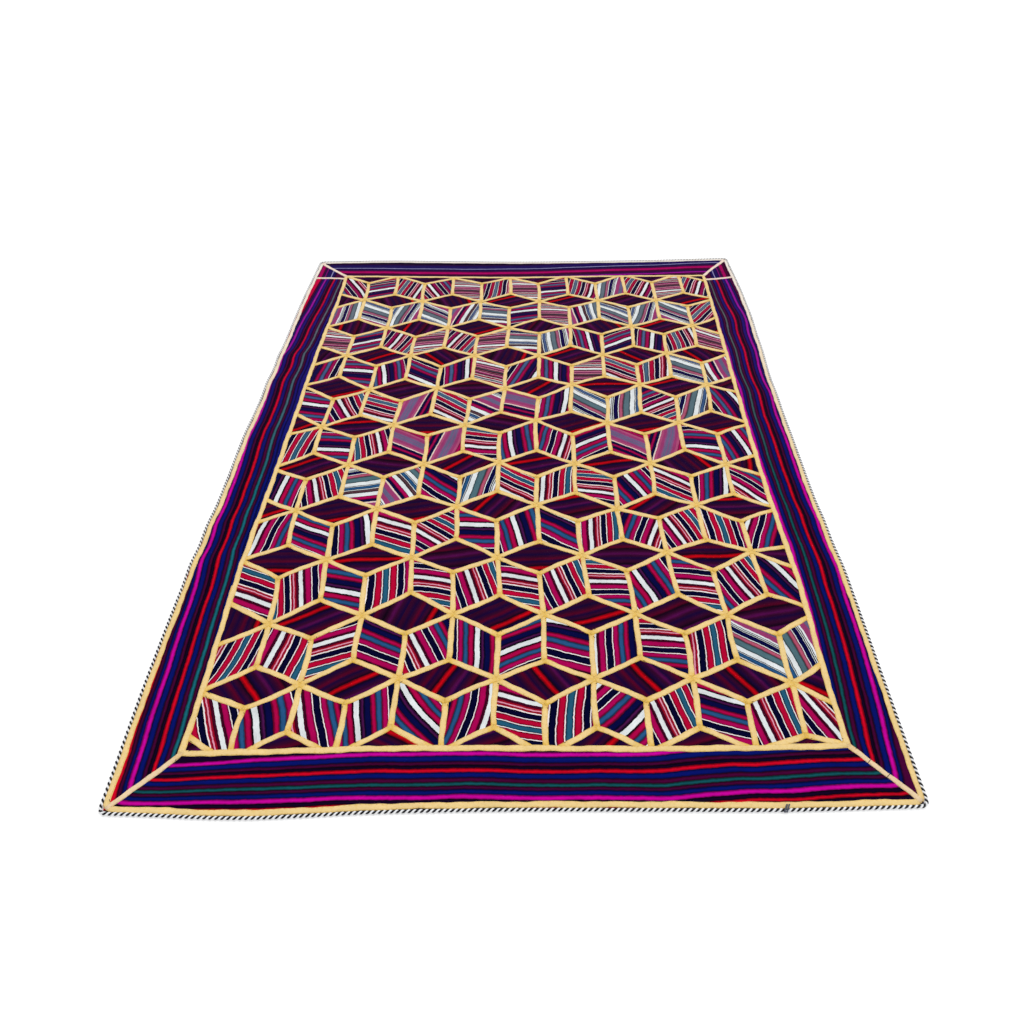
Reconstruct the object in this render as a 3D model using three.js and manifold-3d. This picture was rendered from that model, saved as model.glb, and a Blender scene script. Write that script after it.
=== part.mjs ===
// A flat patchwork rug: a field of tumbling blocks pieced from striped flat-weave wool, four mitred
// border bands, cream tapes sewn over every seam and a twisted cord round the edge.
// Millimetres, +Z up. The underside lies on z = 0, with the origin below the middle of the rug,
// +X to the right and +Y towards the far end.
import * as THREE from 'three';
import { mergeVertices } from 'three/addons/utils/BufferGeometryUtils.js';
import Module from 'manifold-3d';

// Thicknesses and the clearance that neighbouring pieces keep
const CLOTH_THICKNESS = 3;
const TAPE_THICKNESS = 1.2;
const PIECE_GAP = 0.3;

// Widths of the tapes, and the edge cord
const SEAM_TAPE_WIDTH = 14;
const FRAME_TAPE_WIDTH = 15;
const MITRE_TAPE_WIDTH = 12;
const CROSS_TAPE_WIDTH = 12;
const EDGE_TAPE_WIDTH = 11;
const CORD_DIAMETER = 6;
const CORD_JOIN_X = 548;
const CORD_JOIN_GAP = 0.6;
const CORNER_ROUNDING = 26;

// The block pattern: a 60 degree diamond repeats along a row, and rows are staggered by half a column
const COLUMN_PITCH = 227;
const ROW_PITCH = 196.6;
const DIAMOND_HALF_HEIGHT = 61;
const FIRST_COLUMN_X = -737;
const FIRST_ROW_Y = 1074;

// Each side of the rug: the line of its outer edge and of the tape round the field, by station along it.
// The rug was pieced by hand, so no side is quite straight.
const SIDE_LINES = {
  left: [
    { at: -1200, edge: -853, frame: -722 },
    { at: -900, edge: -864, frame: -724 },
    { at: -600, edge: -869, frame: -733 },
    { at: -300, edge: -866, frame: -731 },
    { at: 0, edge: -867, frame: -728 },
    { at: 300, edge: -862, frame: -727 },
    { at: 600, edge: -859, frame: -724 },
    { at: 900, edge: -856, frame: -714 },
    { at: 1200, edge: -845, frame: -713 },
  ],
  right: [
    { at: -1200, edge: 843, frame: 716 },
    { at: -900, edge: 848, frame: 714 },
    { at: -600, edge: 853, frame: 722 },
    { at: -300, edge: 847, frame: 716 },
    { at: 0, edge: 850, frame: 717 },
    { at: 300, edge: 852, frame: 722 },
    { at: 600, edge: 864, frame: 729 },
    { at: 900, edge: 869, frame: 735 },
    { at: 1200, edge: 859, frame: 738 },
  ],
  near: [
    { at: -840, edge: -1205, frame: -1069 },
    { at: -560, edge: -1218, frame: -1066 },
    { at: -280, edge: -1209, frame: -1061 },
    { at: 0, edge: -1208, frame: -1064 },
    { at: 280, edge: -1212, frame: -1070 },
    { at: 560, edge: -1216, frame: -1071 },
    { at: 840, edge: -1212, frame: -1067 },
  ],
  far: [
    { at: -840, edge: 1216, frame: 1090 },
    { at: -560, edge: 1218, frame: 1079 },
    { at: -280, edge: 1206, frame: 1066 },
    { at: 0, edge: 1195, frame: 1057 },
    { at: 280, edge: 1195, frame: 1060 },
    { at: 560, edge: 1198, frame: 1059 },
    { at: 840, edge: 1207, frame: 1058 },
  ],
};

// Rows of the block pattern from the far end: how far each row is sewn off to the right, and how far
// each crossing in it and each far and near tip of its diamonds, from the left, is sewn off towards
// the far end.
const BLOCK_ROWS = [
  {
    shift: 9,
    crossings: [22, 7, -15, -16, -9, -4, -4],
    farTips: [12, 12, 12, 12, 12, 12, 12],
    nearTips: [14, 2, -1, -8, -11, -6, -4],
  },
  {
    shift: 12,
    crossings: [14, -1, -9, -12, -10, -12, -9],
    farTips: [7, -6, -11, -11, -21, -18, -17],
    nearTips: [8, 12, 2, 0, 0, -3, 0],
  },
  {
    shift: 11,
    crossings: [12, 0, -4, -11, -7, -8, -9],
    farTips: [5, -2, -8, -6, -12, -17, -8],
    nearTips: [5, -5, -6, 11, -1, -5, -21],
  },
  {
    shift: 6,
    crossings: [10, 6, 2, -4, -2, 4, -5],
    farTips: [13, 6, -4, -3, 0, -6, -12],
    nearTips: [8, 3, -7, -10, -8, -8, -3],
  },
  {
    shift: 3,
    crossings: [17, -4, 0, -6, 13, 8, 2],
    farTips: [16, -4, -4, -3, -2, -6, -4],
    nearTips: [4, -10, -3, -3, -4, -6, 4],
  },
  {
    shift: -7,
    crossings: [-10, -5, -9, 12, -6, -9, -18],
    farTips: [13, -11, -9, -3, -5, -12, -9],
    nearTips: [3, -3, 0, 10, -5, -4, -10],
  },
  {
    shift: -6,
    crossings: [-15, -1, -3, 1, -9, -11, -19],
    farTips: [-4, -5, -5, -4, -16, -10, -34],
    nearTips: [-6, -1, -4, -6, -11, -10, -20],
  },
  {
    shift: -8,
    crossings: [-5, 0, 5, 7, -13, 1, -21],
    farTips: [-8, -8, -9, 7, -4, -11, -16],
    nearTips: [-2, -4, 1, 6, 1, 9, -8],
  },
  {
    shift: -2,
    crossings: [-2, 0, 4, 0, 4, 12, 10],
    farTips: [-6, -5, 12, -4, 1, -4, -32],
    nearTips: [-4, 2, 10, 2, 8, 6, 3],
  },
  {
    shift: 8,
    crossings: [-19, 4, 4, 0, -1, -10, 0],
    farTips: [-12, -4, 17, 5, 0, 0, -4],
    nearTips: [-24, -5, 7, -1, 1, -3, -10],
  },
  {
    shift: 7,
    crossings: [-19, -3, 12, 6, 3, 1, -15],
    farTips: [-11, 4, 2, -5, 1, -9, -4],
    nearTips: [-4, 8, 10, 0, 4, -3, -32],
  },
  {
    shift: 5,
    crossings: [0, 9, 18, 6, 10, 10, 10],
    farTips: [8, 10, 19, 15, 11, 7, -15],
    nearTips: [0, 0, 0, 0, 0, 0, 0],
  },
];

// Where a cross tape cuts off the far end of a side band: its height at the frame and at the edge
const CROSS_LINES = {
  left: { frameY: 1066, edgeY: 1075 },
  right: { frameY: 1027, edgeY: 1043 },
};

const wasm = await Module();
wasm.setup();

const rug = new THREE.Group();

const clothMaterial = new THREE.MeshStandardMaterial({ color: 0x4a1236, roughness: 0.95, metalness: 0 });
const borderMaterial = new THREE.MeshStandardMaterial({ color: 0x1c1455, roughness: 0.95, metalness: 0 });
const tapeMaterial = new THREE.MeshStandardMaterial({ color: 0xecd38a, roughness: 0.9, metalness: 0 });
const cordMaterial = new THREE.MeshStandardMaterial({ color: 0x6c6a6a, roughness: 0.85, metalness: 0 });

// Which way is inwards from each side, along X for the left and right sides and along Y for the others
const INWARD = { left: 1, right: -1, near: 1, far: -1 };

// The place of a side's edge or frame line at a station, moved inwards by an inset
function lineAt(side, column, at, inset) {
  const rows = SIDE_LINES[side];
  const curve = new THREE.CubicInterpolant(rows.map((row) => row.at), rows.map((row) => row[column]), 1);
  return curve.evaluate(at)[0] + INWARD[side] * inset;
}

// The point where an upright side's line meets that of a cross side
function cornerPoint(upright, cross, column, inset) {
  const point = new THREE.Vector2(lineAt(upright, column, 0, inset), lineAt(cross, column, 0, inset));
  for (let pass = 0; pass < 4; pass += 1) {
    point.x = lineAt(upright, column, point.y, inset);
    point.y = lineAt(cross, column, point.x, inset);
  }
  return point;
}

// Points along one side between two stations, both ends included. The stations between them are the same
// for every inset, so lines at two insets stay an even distance apart.
const STATION_STEP = 150;

function sidePoints(side, column, inset, from, to) {
  const low = Math.min(from, to);
  const high = Math.max(from, to);
  const stations = [low];
  for (let at = (Math.floor(low / STATION_STEP) + 1) * STATION_STEP; at < high; at += STATION_STEP) {
    stations.push(at);
  }
  stations.push(high);
  const upright = side === 'left' || side === 'right';
  const points = stations.map((at) => {
    const place = lineAt(side, column, at, inset);
    return upright ? new THREE.Vector2(place, at) : new THREE.Vector2(at, place);
  });
  return from < to ? points : points.reverse();
}

// A closed outline that runs anticlockwise from the near left corner, with its corners rounded off
function closedOutline(column, inset, rounding) {
  const nearLeft = cornerPoint('left', 'near', column, inset);
  const nearRight = cornerPoint('right', 'near', column, inset);
  const farRight = cornerPoint('right', 'far', column, inset);
  const farLeft = cornerPoint('left', 'far', column, inset);
  const sides = [
    sidePoints('near', column, inset, nearLeft.x + rounding, nearRight.x - rounding),
    sidePoints('right', column, inset, nearRight.y + rounding, farRight.y - rounding),
    sidePoints('far', column, inset, farRight.x - rounding, farLeft.x + rounding),
    sidePoints('left', column, inset, farLeft.y - rounding, nearLeft.y + rounding),
  ];
  if (rounding === 0) {
    return sides.flatMap((points) => points.slice(0, -1));
  }
  const corners = [nearRight, farRight, farLeft, nearLeft];
  const CORNER_STEPS = 6;
  return sides.flatMap((points, i) => {
    const next = sides[(i + 1) % sides.length];
    const bend = new THREE.QuadraticBezierCurve(points.at(-1), corners[i], next[0]);
    return [...points.slice(0, -1), ...bend.getPoints(CORNER_STEPS).slice(0, -1)];
  });
}

// A flat sheet with the given outline, from one height to another, as a solid that can be joined and cut
function plate(points, bottom, top) {
  const options = { depth: top - bottom, bevelEnabled: false };
  const geometry = new THREE.ExtrudeGeometry(new THREE.Shape(points), options);
  return solidOf(geometry.translate(0, 0, bottom));
}

function solidOf(geometry) {
  geometry.deleteAttribute('normal');
  geometry.deleteAttribute('uv');
  const merged = mergeVertices(geometry);
  return new wasm.Manifold(new wasm.Mesh({
    numProp: 3,
    vertProperties: new Float32Array(merged.attributes.position.array),
    triVerts: new Uint32Array(merged.index.array),
  }));
}

function geometryOf(solid) {
  const mesh = solid.getMesh();
  const geometry = new THREE.BufferGeometry();
  geometry.setAttribute('position', new THREE.BufferAttribute(mesh.vertProperties, mesh.numProp));
  geometry.setIndex(new THREE.BufferAttribute(mesh.triVerts, 1));
  geometry.computeVertexNormals();
  return geometry;
}

// Cloth lies on the floor, tape lies on the cloth, and a cutter reaches past both
const CUTTER_REACH = 20;
const TAPE_BOTTOM = CLOTH_THICKNESS + PIECE_GAP;
const clothPlate = (points) => plate(points, 0, CLOTH_THICKNESS);
const tapePlate = (points) => plate(points, TAPE_BOTTOM, TAPE_BOTTOM + TAPE_THICKNESS);
const cutter = (points) => plate(points, -CUTTER_REACH, CUTTER_REACH);

// A straight length of tape between two points, as a flat outline
function stripPoints(start, end, width) {
  const half = end.clone().sub(start).normalize().multiplyScalar(width / 2);
  const aside = new THREE.Vector2(-half.y, half.x);
  return [
    start.clone().sub(aside),
    end.clone().sub(aside),
    end.clone().add(aside),
    start.clone().add(aside),
  ];
}

function addPiece(name, solid, material) {
  const piece = new THREE.Mesh(geometryOf(solid), material);
  piece.name = name;
  rug.add(piece);
}

// The field: one flat panel as far as the middle of the tapes round it
const HALF_GAP = PIECE_GAP / 2;

addPiece('field_panel', clothPlate(closedOutline('frame', HALF_GAP, 0)), clothMaterial);

// The border bands, mitred from the corners of the field to those of the rug. Each lies in a wedge
// between two mitre lines, which reaches into the field and past the edge, less half a gap at each cut.
const CORNERS = {
  near_left: { upright: 'left', cross: 'near' },
  near_right: { upright: 'right', cross: 'near' },
  far_right: { upright: 'right', cross: 'far' },
  far_left: { upright: 'left', cross: 'far' },
};
const CUT_REACH = { into: -0.25, beyond: 2 };
const BAND_INSET = CORD_DIAMETER + PIECE_GAP;

function mitreEnds(corner) {
  const { upright, cross } = CORNERS[corner];
  const inner = cornerPoint(upright, cross, 'frame', 0);
  const outer = cornerPoint(upright, cross, 'edge', 0);
  return [inner, outer];
}

function wedge(firstCorner, secondCorner) {
  const [firstInner, firstOuter] = mitreEnds(firstCorner);
  const [secondInner, secondOuter] = mitreEnds(secondCorner);
  const step = secondInner.clone().sub(firstInner).setLength(PIECE_GAP * Math.SQRT1_2);
  return cutter([
    firstInner.clone().lerp(firstOuter, CUT_REACH.beyond).add(step),
    secondInner.clone().lerp(secondOuter, CUT_REACH.beyond).sub(step),
    secondInner.clone().lerp(secondOuter, CUT_REACH.into).sub(step),
    firstInner.clone().lerp(firstOuter, CUT_REACH.into).add(step),
  ]);
}

const WEDGES = {
  near: wedge('near_left', 'near_right'),
  right: wedge('near_right', 'far_right'),
  far: wedge('far_right', 'far_left'),
  left: wedge('far_left', 'near_left'),
};
const borderRing = clothPlate(closedOutline('edge', BAND_INSET, CORNER_ROUNDING))
  .subtract(cutter(closedOutline('frame', -HALF_GAP, 0)));

addPiece('border_near', borderRing.intersect(WEDGES.near), borderMaterial);
addPiece('border_far', borderRing.intersect(WEDGES.far), borderMaterial);

// The space for tape on the border: outside the tape round the field and inside the tape along the edge
const HALF_FRAME_TAPE = FRAME_TAPE_WIDTH / 2;
const EDGE_TAPE_INSET = BAND_INSET + EDGE_TAPE_WIDTH;
const bandClear = cutter(closedOutline('edge', EDGE_TAPE_INSET + PIECE_GAP, CORNER_ROUNDING))
  .subtract(cutter(closedOutline('frame', -(HALF_FRAME_TAPE + PIECE_GAP), 0)));

// A side band stops at its cross tape, and a separately cut piece fills the corner beyond it
const CORNER_PIECE_REACH = 400;

for (const side of ['left', 'right']) {
  const { frameY, edgeY } = CROSS_LINES[side];
  const inner = new THREE.Vector2(lineAt(side, 'frame', frameY, 0), frameY);
  const outer = new THREE.Vector2(lineAt(side, 'edge', edgeY, 0), edgeY);
  const start = inner.clone().lerp(outer, CUT_REACH.into);
  const end = inner.clone().lerp(outer, CUT_REACH.beyond);
  const beyondLine = (offset) => cutter([
    new THREE.Vector2(start.x, start.y + offset),
    new THREE.Vector2(end.x, end.y + offset),
    new THREE.Vector2(end.x, end.y + CORNER_PIECE_REACH),
    new THREE.Vector2(start.x, start.y + CORNER_PIECE_REACH),
  ]);
  const band = borderRing.intersect(WEDGES[side]);
  addPiece(`border_${side}`, band.subtract(beyondLine(-HALF_GAP)), borderMaterial);
  addPiece(`corner_far_${side}`, band.intersect(beyondLine(HALF_GAP)), borderMaterial);

  const crossTape = tapePlate(stripPoints(inner, outer, CROSS_TAPE_WIDTH));
  addPiece(`cross_tape_${side}`, crossTape.intersect(bandClear), tapeMaterial);
}

// Tape over the join of field and border: the near and far lengths run on through the corners, and the
// left and right lengths fit between them.
function frameTape(side, from, to) {
  return tapePlate([
    ...sidePoints(side, 'frame', -HALF_FRAME_TAPE, from, to),
    ...sidePoints(side, 'frame', HALF_FRAME_TAPE, to, from),
  ]);
}

for (const side of ['near', 'far']) {
  const from = cornerPoint('left', side, 'frame', -HALF_FRAME_TAPE).x;
  const to = cornerPoint('right', side, 'frame', -HALF_FRAME_TAPE).x;
  addPiece(`frame_tape_${side}`, frameTape(side, from, to), tapeMaterial);
}
for (const side of ['left', 'right']) {
  const from = cornerPoint(side, 'near', 'frame', HALF_FRAME_TAPE).y + 2 * PIECE_GAP;
  const to = cornerPoint(side, 'far', 'frame', HALF_FRAME_TAPE).y - 2 * PIECE_GAP;
  addPiece(`frame_tape_${side}`, frameTape(side, from, to), tapeMaterial);
}

// Tape over each mitre
for (const corner of Object.keys(CORNERS)) {
  const [inner, outer] = mitreEnds(corner);
  const mitreTape = tapePlate(stripPoints(inner, outer, MITRE_TAPE_WIDTH));
  addPiece(`mitre_tape_${corner}`, mitreTape.intersect(bandClear), tapeMaterial);
}

// Tape along the outer edge, a length to each side, meeting at the mitres
const edgeRing = tapePlate(closedOutline('edge', BAND_INSET, CORNER_ROUNDING))
  .subtract(cutter(closedOutline('edge', EDGE_TAPE_INSET, CORNER_ROUNDING)));

for (const side of Object.keys(WEDGES)) {
  addPiece(`edge_tape_${side}`, edgeRing.intersect(WEDGES[side]), tapeMaterial);
}

// Tapes over the block seams, which run between crossings, where six seams meet, and the upper and lower
// tips of the diamonds, where three meet. Even rows of crossings start on the left frame tape.
const UP = 1;
const DOWN = -1;
const evenRowY = (row) => FIRST_ROW_Y - row * ROW_PITCH;

function riseOf(rises, place) {
  return rises[THREE.MathUtils.clamp(place, 0, rises.length - 1)];
}

function crossing(row, column) {
  const { shift, crossings } = BLOCK_ROWS[row];
  const stagger = (row % 2) / 2;
  return new THREE.Vector2(
    FIRST_COLUMN_X + (column + stagger) * COLUMN_PITCH + shift,
    evenRowY(row) + riseOf(crossings, column),
  );
}

function diamondTip(row, column, upOrDown) {
  const { farTips, nearTips } = BLOCK_ROWS[row];
  const rise = riseOf(upOrDown === UP ? farTips : nearTips, column + (row % 2));
  const middle = crossing(row, column).lerp(crossing(row, column + 1), 0.5);
  return middle.setY(evenRowY(row) + upOrDown * DIAMOND_HALF_HEIGHT + rise);
}

// The upper or lower seams of the diamonds that start at the given columns
function diamondSeams(row, upOrDown, fromColumn, toColumn) {
  const seams = [];
  for (let column = fromColumn; column <= toColumn; column += 1) {
    const tip = diamondTip(row, column, upOrDown);
    seams.push([crossing(row, column), tip], [tip, crossing(row, column + 1)]);
  }
  return seams;
}

function wholeRow(row) {
  const fromColumn = -(row % 2);
  const toColumn = BLOCK_ROWS[row].crossings.length - 1;
  return [...diamondSeams(row, UP, fromColumn, toColumn), ...diamondSeams(row, DOWN, fromColumn, toColumn)];
}

// The uprights from a row down to the next: below each crossing to a diamond's upper tip, and below each
// diamond's lower tip to a crossing.
function uprightSeams(row) {
  const next = row + 1;
  const stagger = row % 2;
  return BLOCK_ROWS[row].crossings.flatMap((_, column) => [
    [crossing(row, column), diamondTip(next, column - 1 + stagger, UP)],
    [diamondTip(row, column, DOWN), crossing(next, column + stagger)],
  ]);
}

const fieldClear = tapePlate(closedOutline('frame', HALF_FRAME_TAPE + PIECE_GAP, 0));

function seamTape(seams) {
  const strips = seams.map(([start, end]) => tapePlate(stripPoints(start, end, SEAM_TAPE_WIDTH)));
  return wasm.Manifold.union(strips).intersect(fieldClear);
}

function rowClearance(row) {
  const width = SEAM_TAPE_WIDTH + 2 * PIECE_GAP;
  return wasm.Manifold.union(wholeRow(row).map(([start, end]) => cutter(stripPoints(start, end, width))));
}

// Each row of diamonds is one net with the uprights above it. The first also takes the half diamonds at
// the far end of the field, and the last takes the uprights and half diamonds at the near end.
const FIRST_ROW = 1;
const NEAR_ROW = BLOCK_ROWS.length - 1;
const LAST_COLUMN = BLOCK_ROWS[0].crossings.length - 1;

for (let row = FIRST_ROW; row < NEAR_ROW; row += 1) {
  const seams = [...wholeRow(row), ...uprightSeams(row - 1)];
  if (row === FIRST_ROW) {
    seams.push(...diamondSeams(0, DOWN, 0, LAST_COLUMN - 1));
  }
  if (row === NEAR_ROW - 1) {
    seams.push(...uprightSeams(row), ...diamondSeams(NEAR_ROW, UP, 0, LAST_COLUMN - 1));
  }
  const net = seamTape(seams);
  const name = `seam_tape_row_${String(row).padStart(2, '0')}`;
  addPiece(name, row === FIRST_ROW ? net : net.subtract(rowClearance(row - 1)), tapeMaterial);
}

// Two short ends of tape across corners of the field
const farRightEnd = [crossing(0, LAST_COLUMN), diamondTip(0, LAST_COLUMN, DOWN)];
const nearLeftEnd = [diamondTip(NEAR_ROW, -1, UP), crossing(NEAR_ROW, 0)];

addPiece('seam_tape_corner_far_right', seamTape([farRightEnd]), tapeMaterial);
addPiece('seam_tape_corner_near_left', seamTape([nearLeftEnd]), tapeMaterial);

// The edge cord: one length of eight-sided section sewn round the rug, its ends meeting on the near side
const CORD_FLAT = CORD_DIAMETER * Math.tan(Math.PI / 8);
const CORD_CHAMFER = (CORD_DIAMETER - CORD_FLAT) / 2;

function fromJoin(points) {
  const after = points.findIndex((point) => point.x > CORD_JOIN_X);
  const joinY = points[after - 1].clone().lerp(points[after], 0.5).y;
  const setBack = CORD_JOIN_GAP / 2 + CORD_CHAMFER;
  return [
    new THREE.Vector2(CORD_JOIN_X + setBack, joinY),
    ...points.slice(after),
    ...points.slice(0, after),
    new THREE.Vector2(CORD_JOIN_X - setBack, joinY),
  ];
}

const cordOutside = fromJoin(closedOutline('edge', CORD_CHAMFER, CORNER_ROUNDING));
const cordInside = fromJoin(closedOutline('edge', CORD_CHAMFER + CORD_FLAT, CORNER_ROUNDING));
const cordGeometry = new THREE.ExtrudeGeometry(new THREE.Shape([...cordOutside, ...cordInside.reverse()]), {
  depth: CORD_FLAT,
  bevelThickness: CORD_CHAMFER,
  bevelSize: CORD_CHAMFER,
  bevelSegments: 1,
});

addPiece('edge_cord', solidOf(cordGeometry.translate(0, 0, CORD_CHAMFER)), cordMaterial);

export default rug;
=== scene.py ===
import math
import random

import bmesh
import bpy
import numpy as np
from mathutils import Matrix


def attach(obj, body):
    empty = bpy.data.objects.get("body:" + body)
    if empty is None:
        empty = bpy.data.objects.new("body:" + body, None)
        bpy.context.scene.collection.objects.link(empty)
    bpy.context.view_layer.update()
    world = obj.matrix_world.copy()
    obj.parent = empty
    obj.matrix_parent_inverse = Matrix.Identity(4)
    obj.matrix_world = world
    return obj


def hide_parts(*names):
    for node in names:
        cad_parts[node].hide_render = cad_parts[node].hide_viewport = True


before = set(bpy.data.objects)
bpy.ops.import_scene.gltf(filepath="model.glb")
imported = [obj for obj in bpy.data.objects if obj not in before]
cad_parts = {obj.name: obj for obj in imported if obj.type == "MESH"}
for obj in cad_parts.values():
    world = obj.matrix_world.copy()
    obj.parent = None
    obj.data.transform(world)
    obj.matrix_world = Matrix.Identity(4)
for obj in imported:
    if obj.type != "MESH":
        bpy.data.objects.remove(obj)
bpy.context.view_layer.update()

# The view: a phone at chest height in front of the near side, looking along the rug. A pale studio
# floor and soft light from above and all round leave hardly any shadow.
EYE = (0.0491, -1.9934, 1.5821)
EYE_TURN = (0.8132, 0.0067, -0.0104)
SENSOR_WIDTH = 36.0
FOCAL_LENGTH = 28.65
LENS_SHIFT = -0.0263
SKY_STRENGTH = 0.8
LAMP_STRENGTH = 0.9
LAMP_SPREAD = 0.9
LAMP_TURN = (-0.5, 0.35, 0.0)
FLOOR_SIZE = 60.0
FLOOR_DROP = 0.0006
WHITE = (1.0, 1.0, 1.0, 1.0)
FLOOR_FINISH = {
    "Base Color": (0.97, 0.97, 0.97, 1.0), "Roughness": 1.0,
    "Emission Color": WHITE, "Emission Strength": 0.2,
}

scene = bpy.context.scene
scene.view_settings.view_transform = "Standard"
lens = bpy.data.cameras.new("phone_camera")
lens.sensor_width = SENSOR_WIDTH
lens.lens = FOCAL_LENGTH
lens.shift_x = LENS_SHIFT
camera = bpy.data.objects.new("phone_camera", lens)
camera.location = EYE
camera.rotation_euler = EYE_TURN
scene.collection.objects.link(camera)
scene.camera = camera

sky = bpy.data.worlds.new("studio")
sky.use_nodes = True
sky.node_tree.nodes["Background"].inputs["Color"].default_value = WHITE
sky.node_tree.nodes["Background"].inputs["Strength"].default_value = SKY_STRENGTH
scene.world = sky
lamp = bpy.data.lights.new("overhead_softbox", "SUN")
lamp.energy = LAMP_STRENGTH
lamp.angle = LAMP_SPREAD
softbox = bpy.data.objects.new("overhead_softbox", lamp)
softbox.rotation_euler = LAMP_TURN
scene.collection.objects.link(softbox)


def new_material(name, finish):
    """A material, its node tree and its shader, with the shader's named inputs set."""
    material = bpy.data.materials.new(name)
    material.use_nodes = True
    shader = material.node_tree.nodes["Principled BSDF"]
    for key, value in finish.items():
        shader.inputs[key].default_value = value
    return material, material.node_tree, shader


floor_mesh = bpy.data.meshes.new("floor")
half = FLOOR_SIZE / 2
floor_corners = ((-half, -half), (half, -half), (half, half), (-half, half))
floor_mesh.from_pydata([(x, y, -FLOOR_DROP) for x, y in floor_corners], [], [(0, 1, 2, 3)])
floor_mesh.materials.append(new_material("floor_paint", FLOOR_FINISH)[0])
floor = bpy.data.objects.new("floor", floor_mesh)
scene.collection.objects.link(floor)


# The striped patches: pieces cut from narrow bands of warp-faced striped wool, each laid its own way
# and sewn edge to edge, two to every dark diamond, so that the field reads as tumbling blocks.
# Each is a thin flat-woven cloth, the same on both faces, that swells a little between its seams.
MM = 0.001
COLUMN_PITCH = 227.0
ROW_PITCH = 196.6
DIAMOND_HALF_HEIGHT = 61.0
FIRST_COLUMN_X = -737.0
FIRST_ROW_Y = 1074.0
BANDS = 11
PATCHES_IN_BAND = 13
FAR = 1
NEAR = -1

# Each row of the pattern from the far end: its shift to the right, then how far each crossing and each
# far and near tip of its diamonds, from the left, lies beyond its even place, in mm.
BLOCK_ROWS = [
    dict(shift=9, crossings=[22, 7, -15, -16, -9, -4, -4],
         far_tips=[12, 12, 12, 12, 12, 12, 12], near_tips=[14, 2, -1, -8, -11, -6, -4]),
    dict(shift=12, crossings=[14, -1, -9, -12, -10, -12, -9],
         far_tips=[7, -6, -11, -11, -21, -18, -17], near_tips=[8, 12, 2, 0, 0, -3, 0]),
    dict(shift=11, crossings=[12, 0, -4, -11, -7, -8, -9],
         far_tips=[5, -2, -8, -6, -12, -17, -8], near_tips=[5, -5, -6, 11, -1, -5, -21]),
    dict(shift=6, crossings=[10, 6, 2, -4, -2, 4, -5],
         far_tips=[13, 6, -4, -3, 0, -6, -12], near_tips=[8, 3, -7, -10, -8, -8, -3]),
    dict(shift=3, crossings=[17, -4, 0, -6, 13, 8, 2],
         far_tips=[16, -4, -4, -3, -2, -6, -4], near_tips=[4, -10, -3, -3, -4, -6, 4]),
    dict(shift=-7, crossings=[-10, -5, -9, 12, -6, -9, -18],
         far_tips=[13, -11, -9, -3, -5, -12, -9], near_tips=[3, -3, 0, 10, -5, -4, -10]),
    dict(shift=-6, crossings=[-15, -1, -3, 1, -9, -11, -19],
         far_tips=[-4, -5, -5, -4, -16, -10, -34], near_tips=[-6, -1, -4, -6, -11, -10, -20]),
    dict(shift=-8, crossings=[-5, 0, 5, 7, -13, 1, -21],
         far_tips=[-8, -8, -9, 7, -4, -11, -16], near_tips=[-2, -4, 1, 6, 1, 9, -8]),
    dict(shift=-2, crossings=[-2, 0, 4, 0, 4, 12, 10],
         far_tips=[-6, -5, 12, -4, 1, -4, -32], near_tips=[-4, 2, 10, 2, 8, 6, 3]),
    dict(shift=8, crossings=[-19, 4, 4, 0, -1, -10, 0],
         far_tips=[-12, -4, 17, 5, 0, 0, -4], near_tips=[-24, -5, 7, -1, 1, -3, -10]),
    dict(shift=7, crossings=[-19, -3, 12, 6, 3, 1, -15],
         far_tips=[-11, 4, 2, -5, 1, -9, -4], near_tips=[-4, 8, 10, 0, 4, -3, -32]),
    dict(shift=5, crossings=[0, 9, 18, 6, 10, 10, 10],
         far_tips=[8, 10, 19, 15, 11, 7, -15], near_tips=[0, 0, 0, 0, 0, 0, 0]),
]

# Each side's outer edge and the seam between field and border, in mm, at even stations along it.
SIDE_LINES = {
    "left": dict(first=-1200, step=300,
                 edge=[-853, -864, -869, -866, -867, -862, -859, -856, -845],
                 frame=[-722, -724, -733, -731, -728, -727, -724, -714, -713]),
    "right": dict(first=-1200, step=300,
                  edge=[843, 848, 853, 847, 850, 852, 864, 869, 859],
                  frame=[716, 714, 722, 716, 717, 722, 729, 735, 738]),
    "near": dict(first=-840, step=280,
                 edge=[-1205, -1218, -1209, -1208, -1212, -1216, -1212],
                 frame=[-1069, -1066, -1061, -1064, -1070, -1071, -1067]),
    "far": dict(first=-840, step=280,
                edge=[1216, 1218, 1206, 1195, 1195, 1198, 1207],
                frame=[1090, 1079, 1066, 1057, 1060, 1059, 1058]),
}
INWARD = {"left": (1, 0), "right": (-1, 0), "near": (0, 1), "far": (0, -1)}


def side_line(side, line, at):
    """How far out a side's line lies at a station along it, on a smooth curve through the table."""
    row = SIDE_LINES[side]
    values = row[line]
    last = len(values) - 1
    place = min(max((at - row["first"]) / row["step"], 0.0), float(last))
    i = min(int(place), last - 1)
    t = place - i
    before, here, there, after = (values[min(max(k, 0), last)] for k in range(i - 1, i + 3))
    bend = 2 * before - 5 * here + 4 * there - after
    twist = 3 * here - before - 3 * there + after
    return here + 0.5 * t * (there - before + t * (bend + t * twist))


def runs_along(side):
    """0 for a side that runs along X, 1 for one that runs along Y."""
    return 0 if side in ("near", "far") else 1


def side_point(side, line, at, inset):
    """A point on a side's line, so far in from it, in mm."""
    axis = runs_along(side)
    spot = np.zeros(2)
    spot[axis] = at
    spot[1 - axis] = side_line(side, line, at) + inset * INWARD[side][1 - axis]
    return spot


def rise_of(rises, place):
    """The rise at a place in a row, or at the nearest place that the row has."""
    return rises[min(max(place, 0), len(rises) - 1)]


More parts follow.
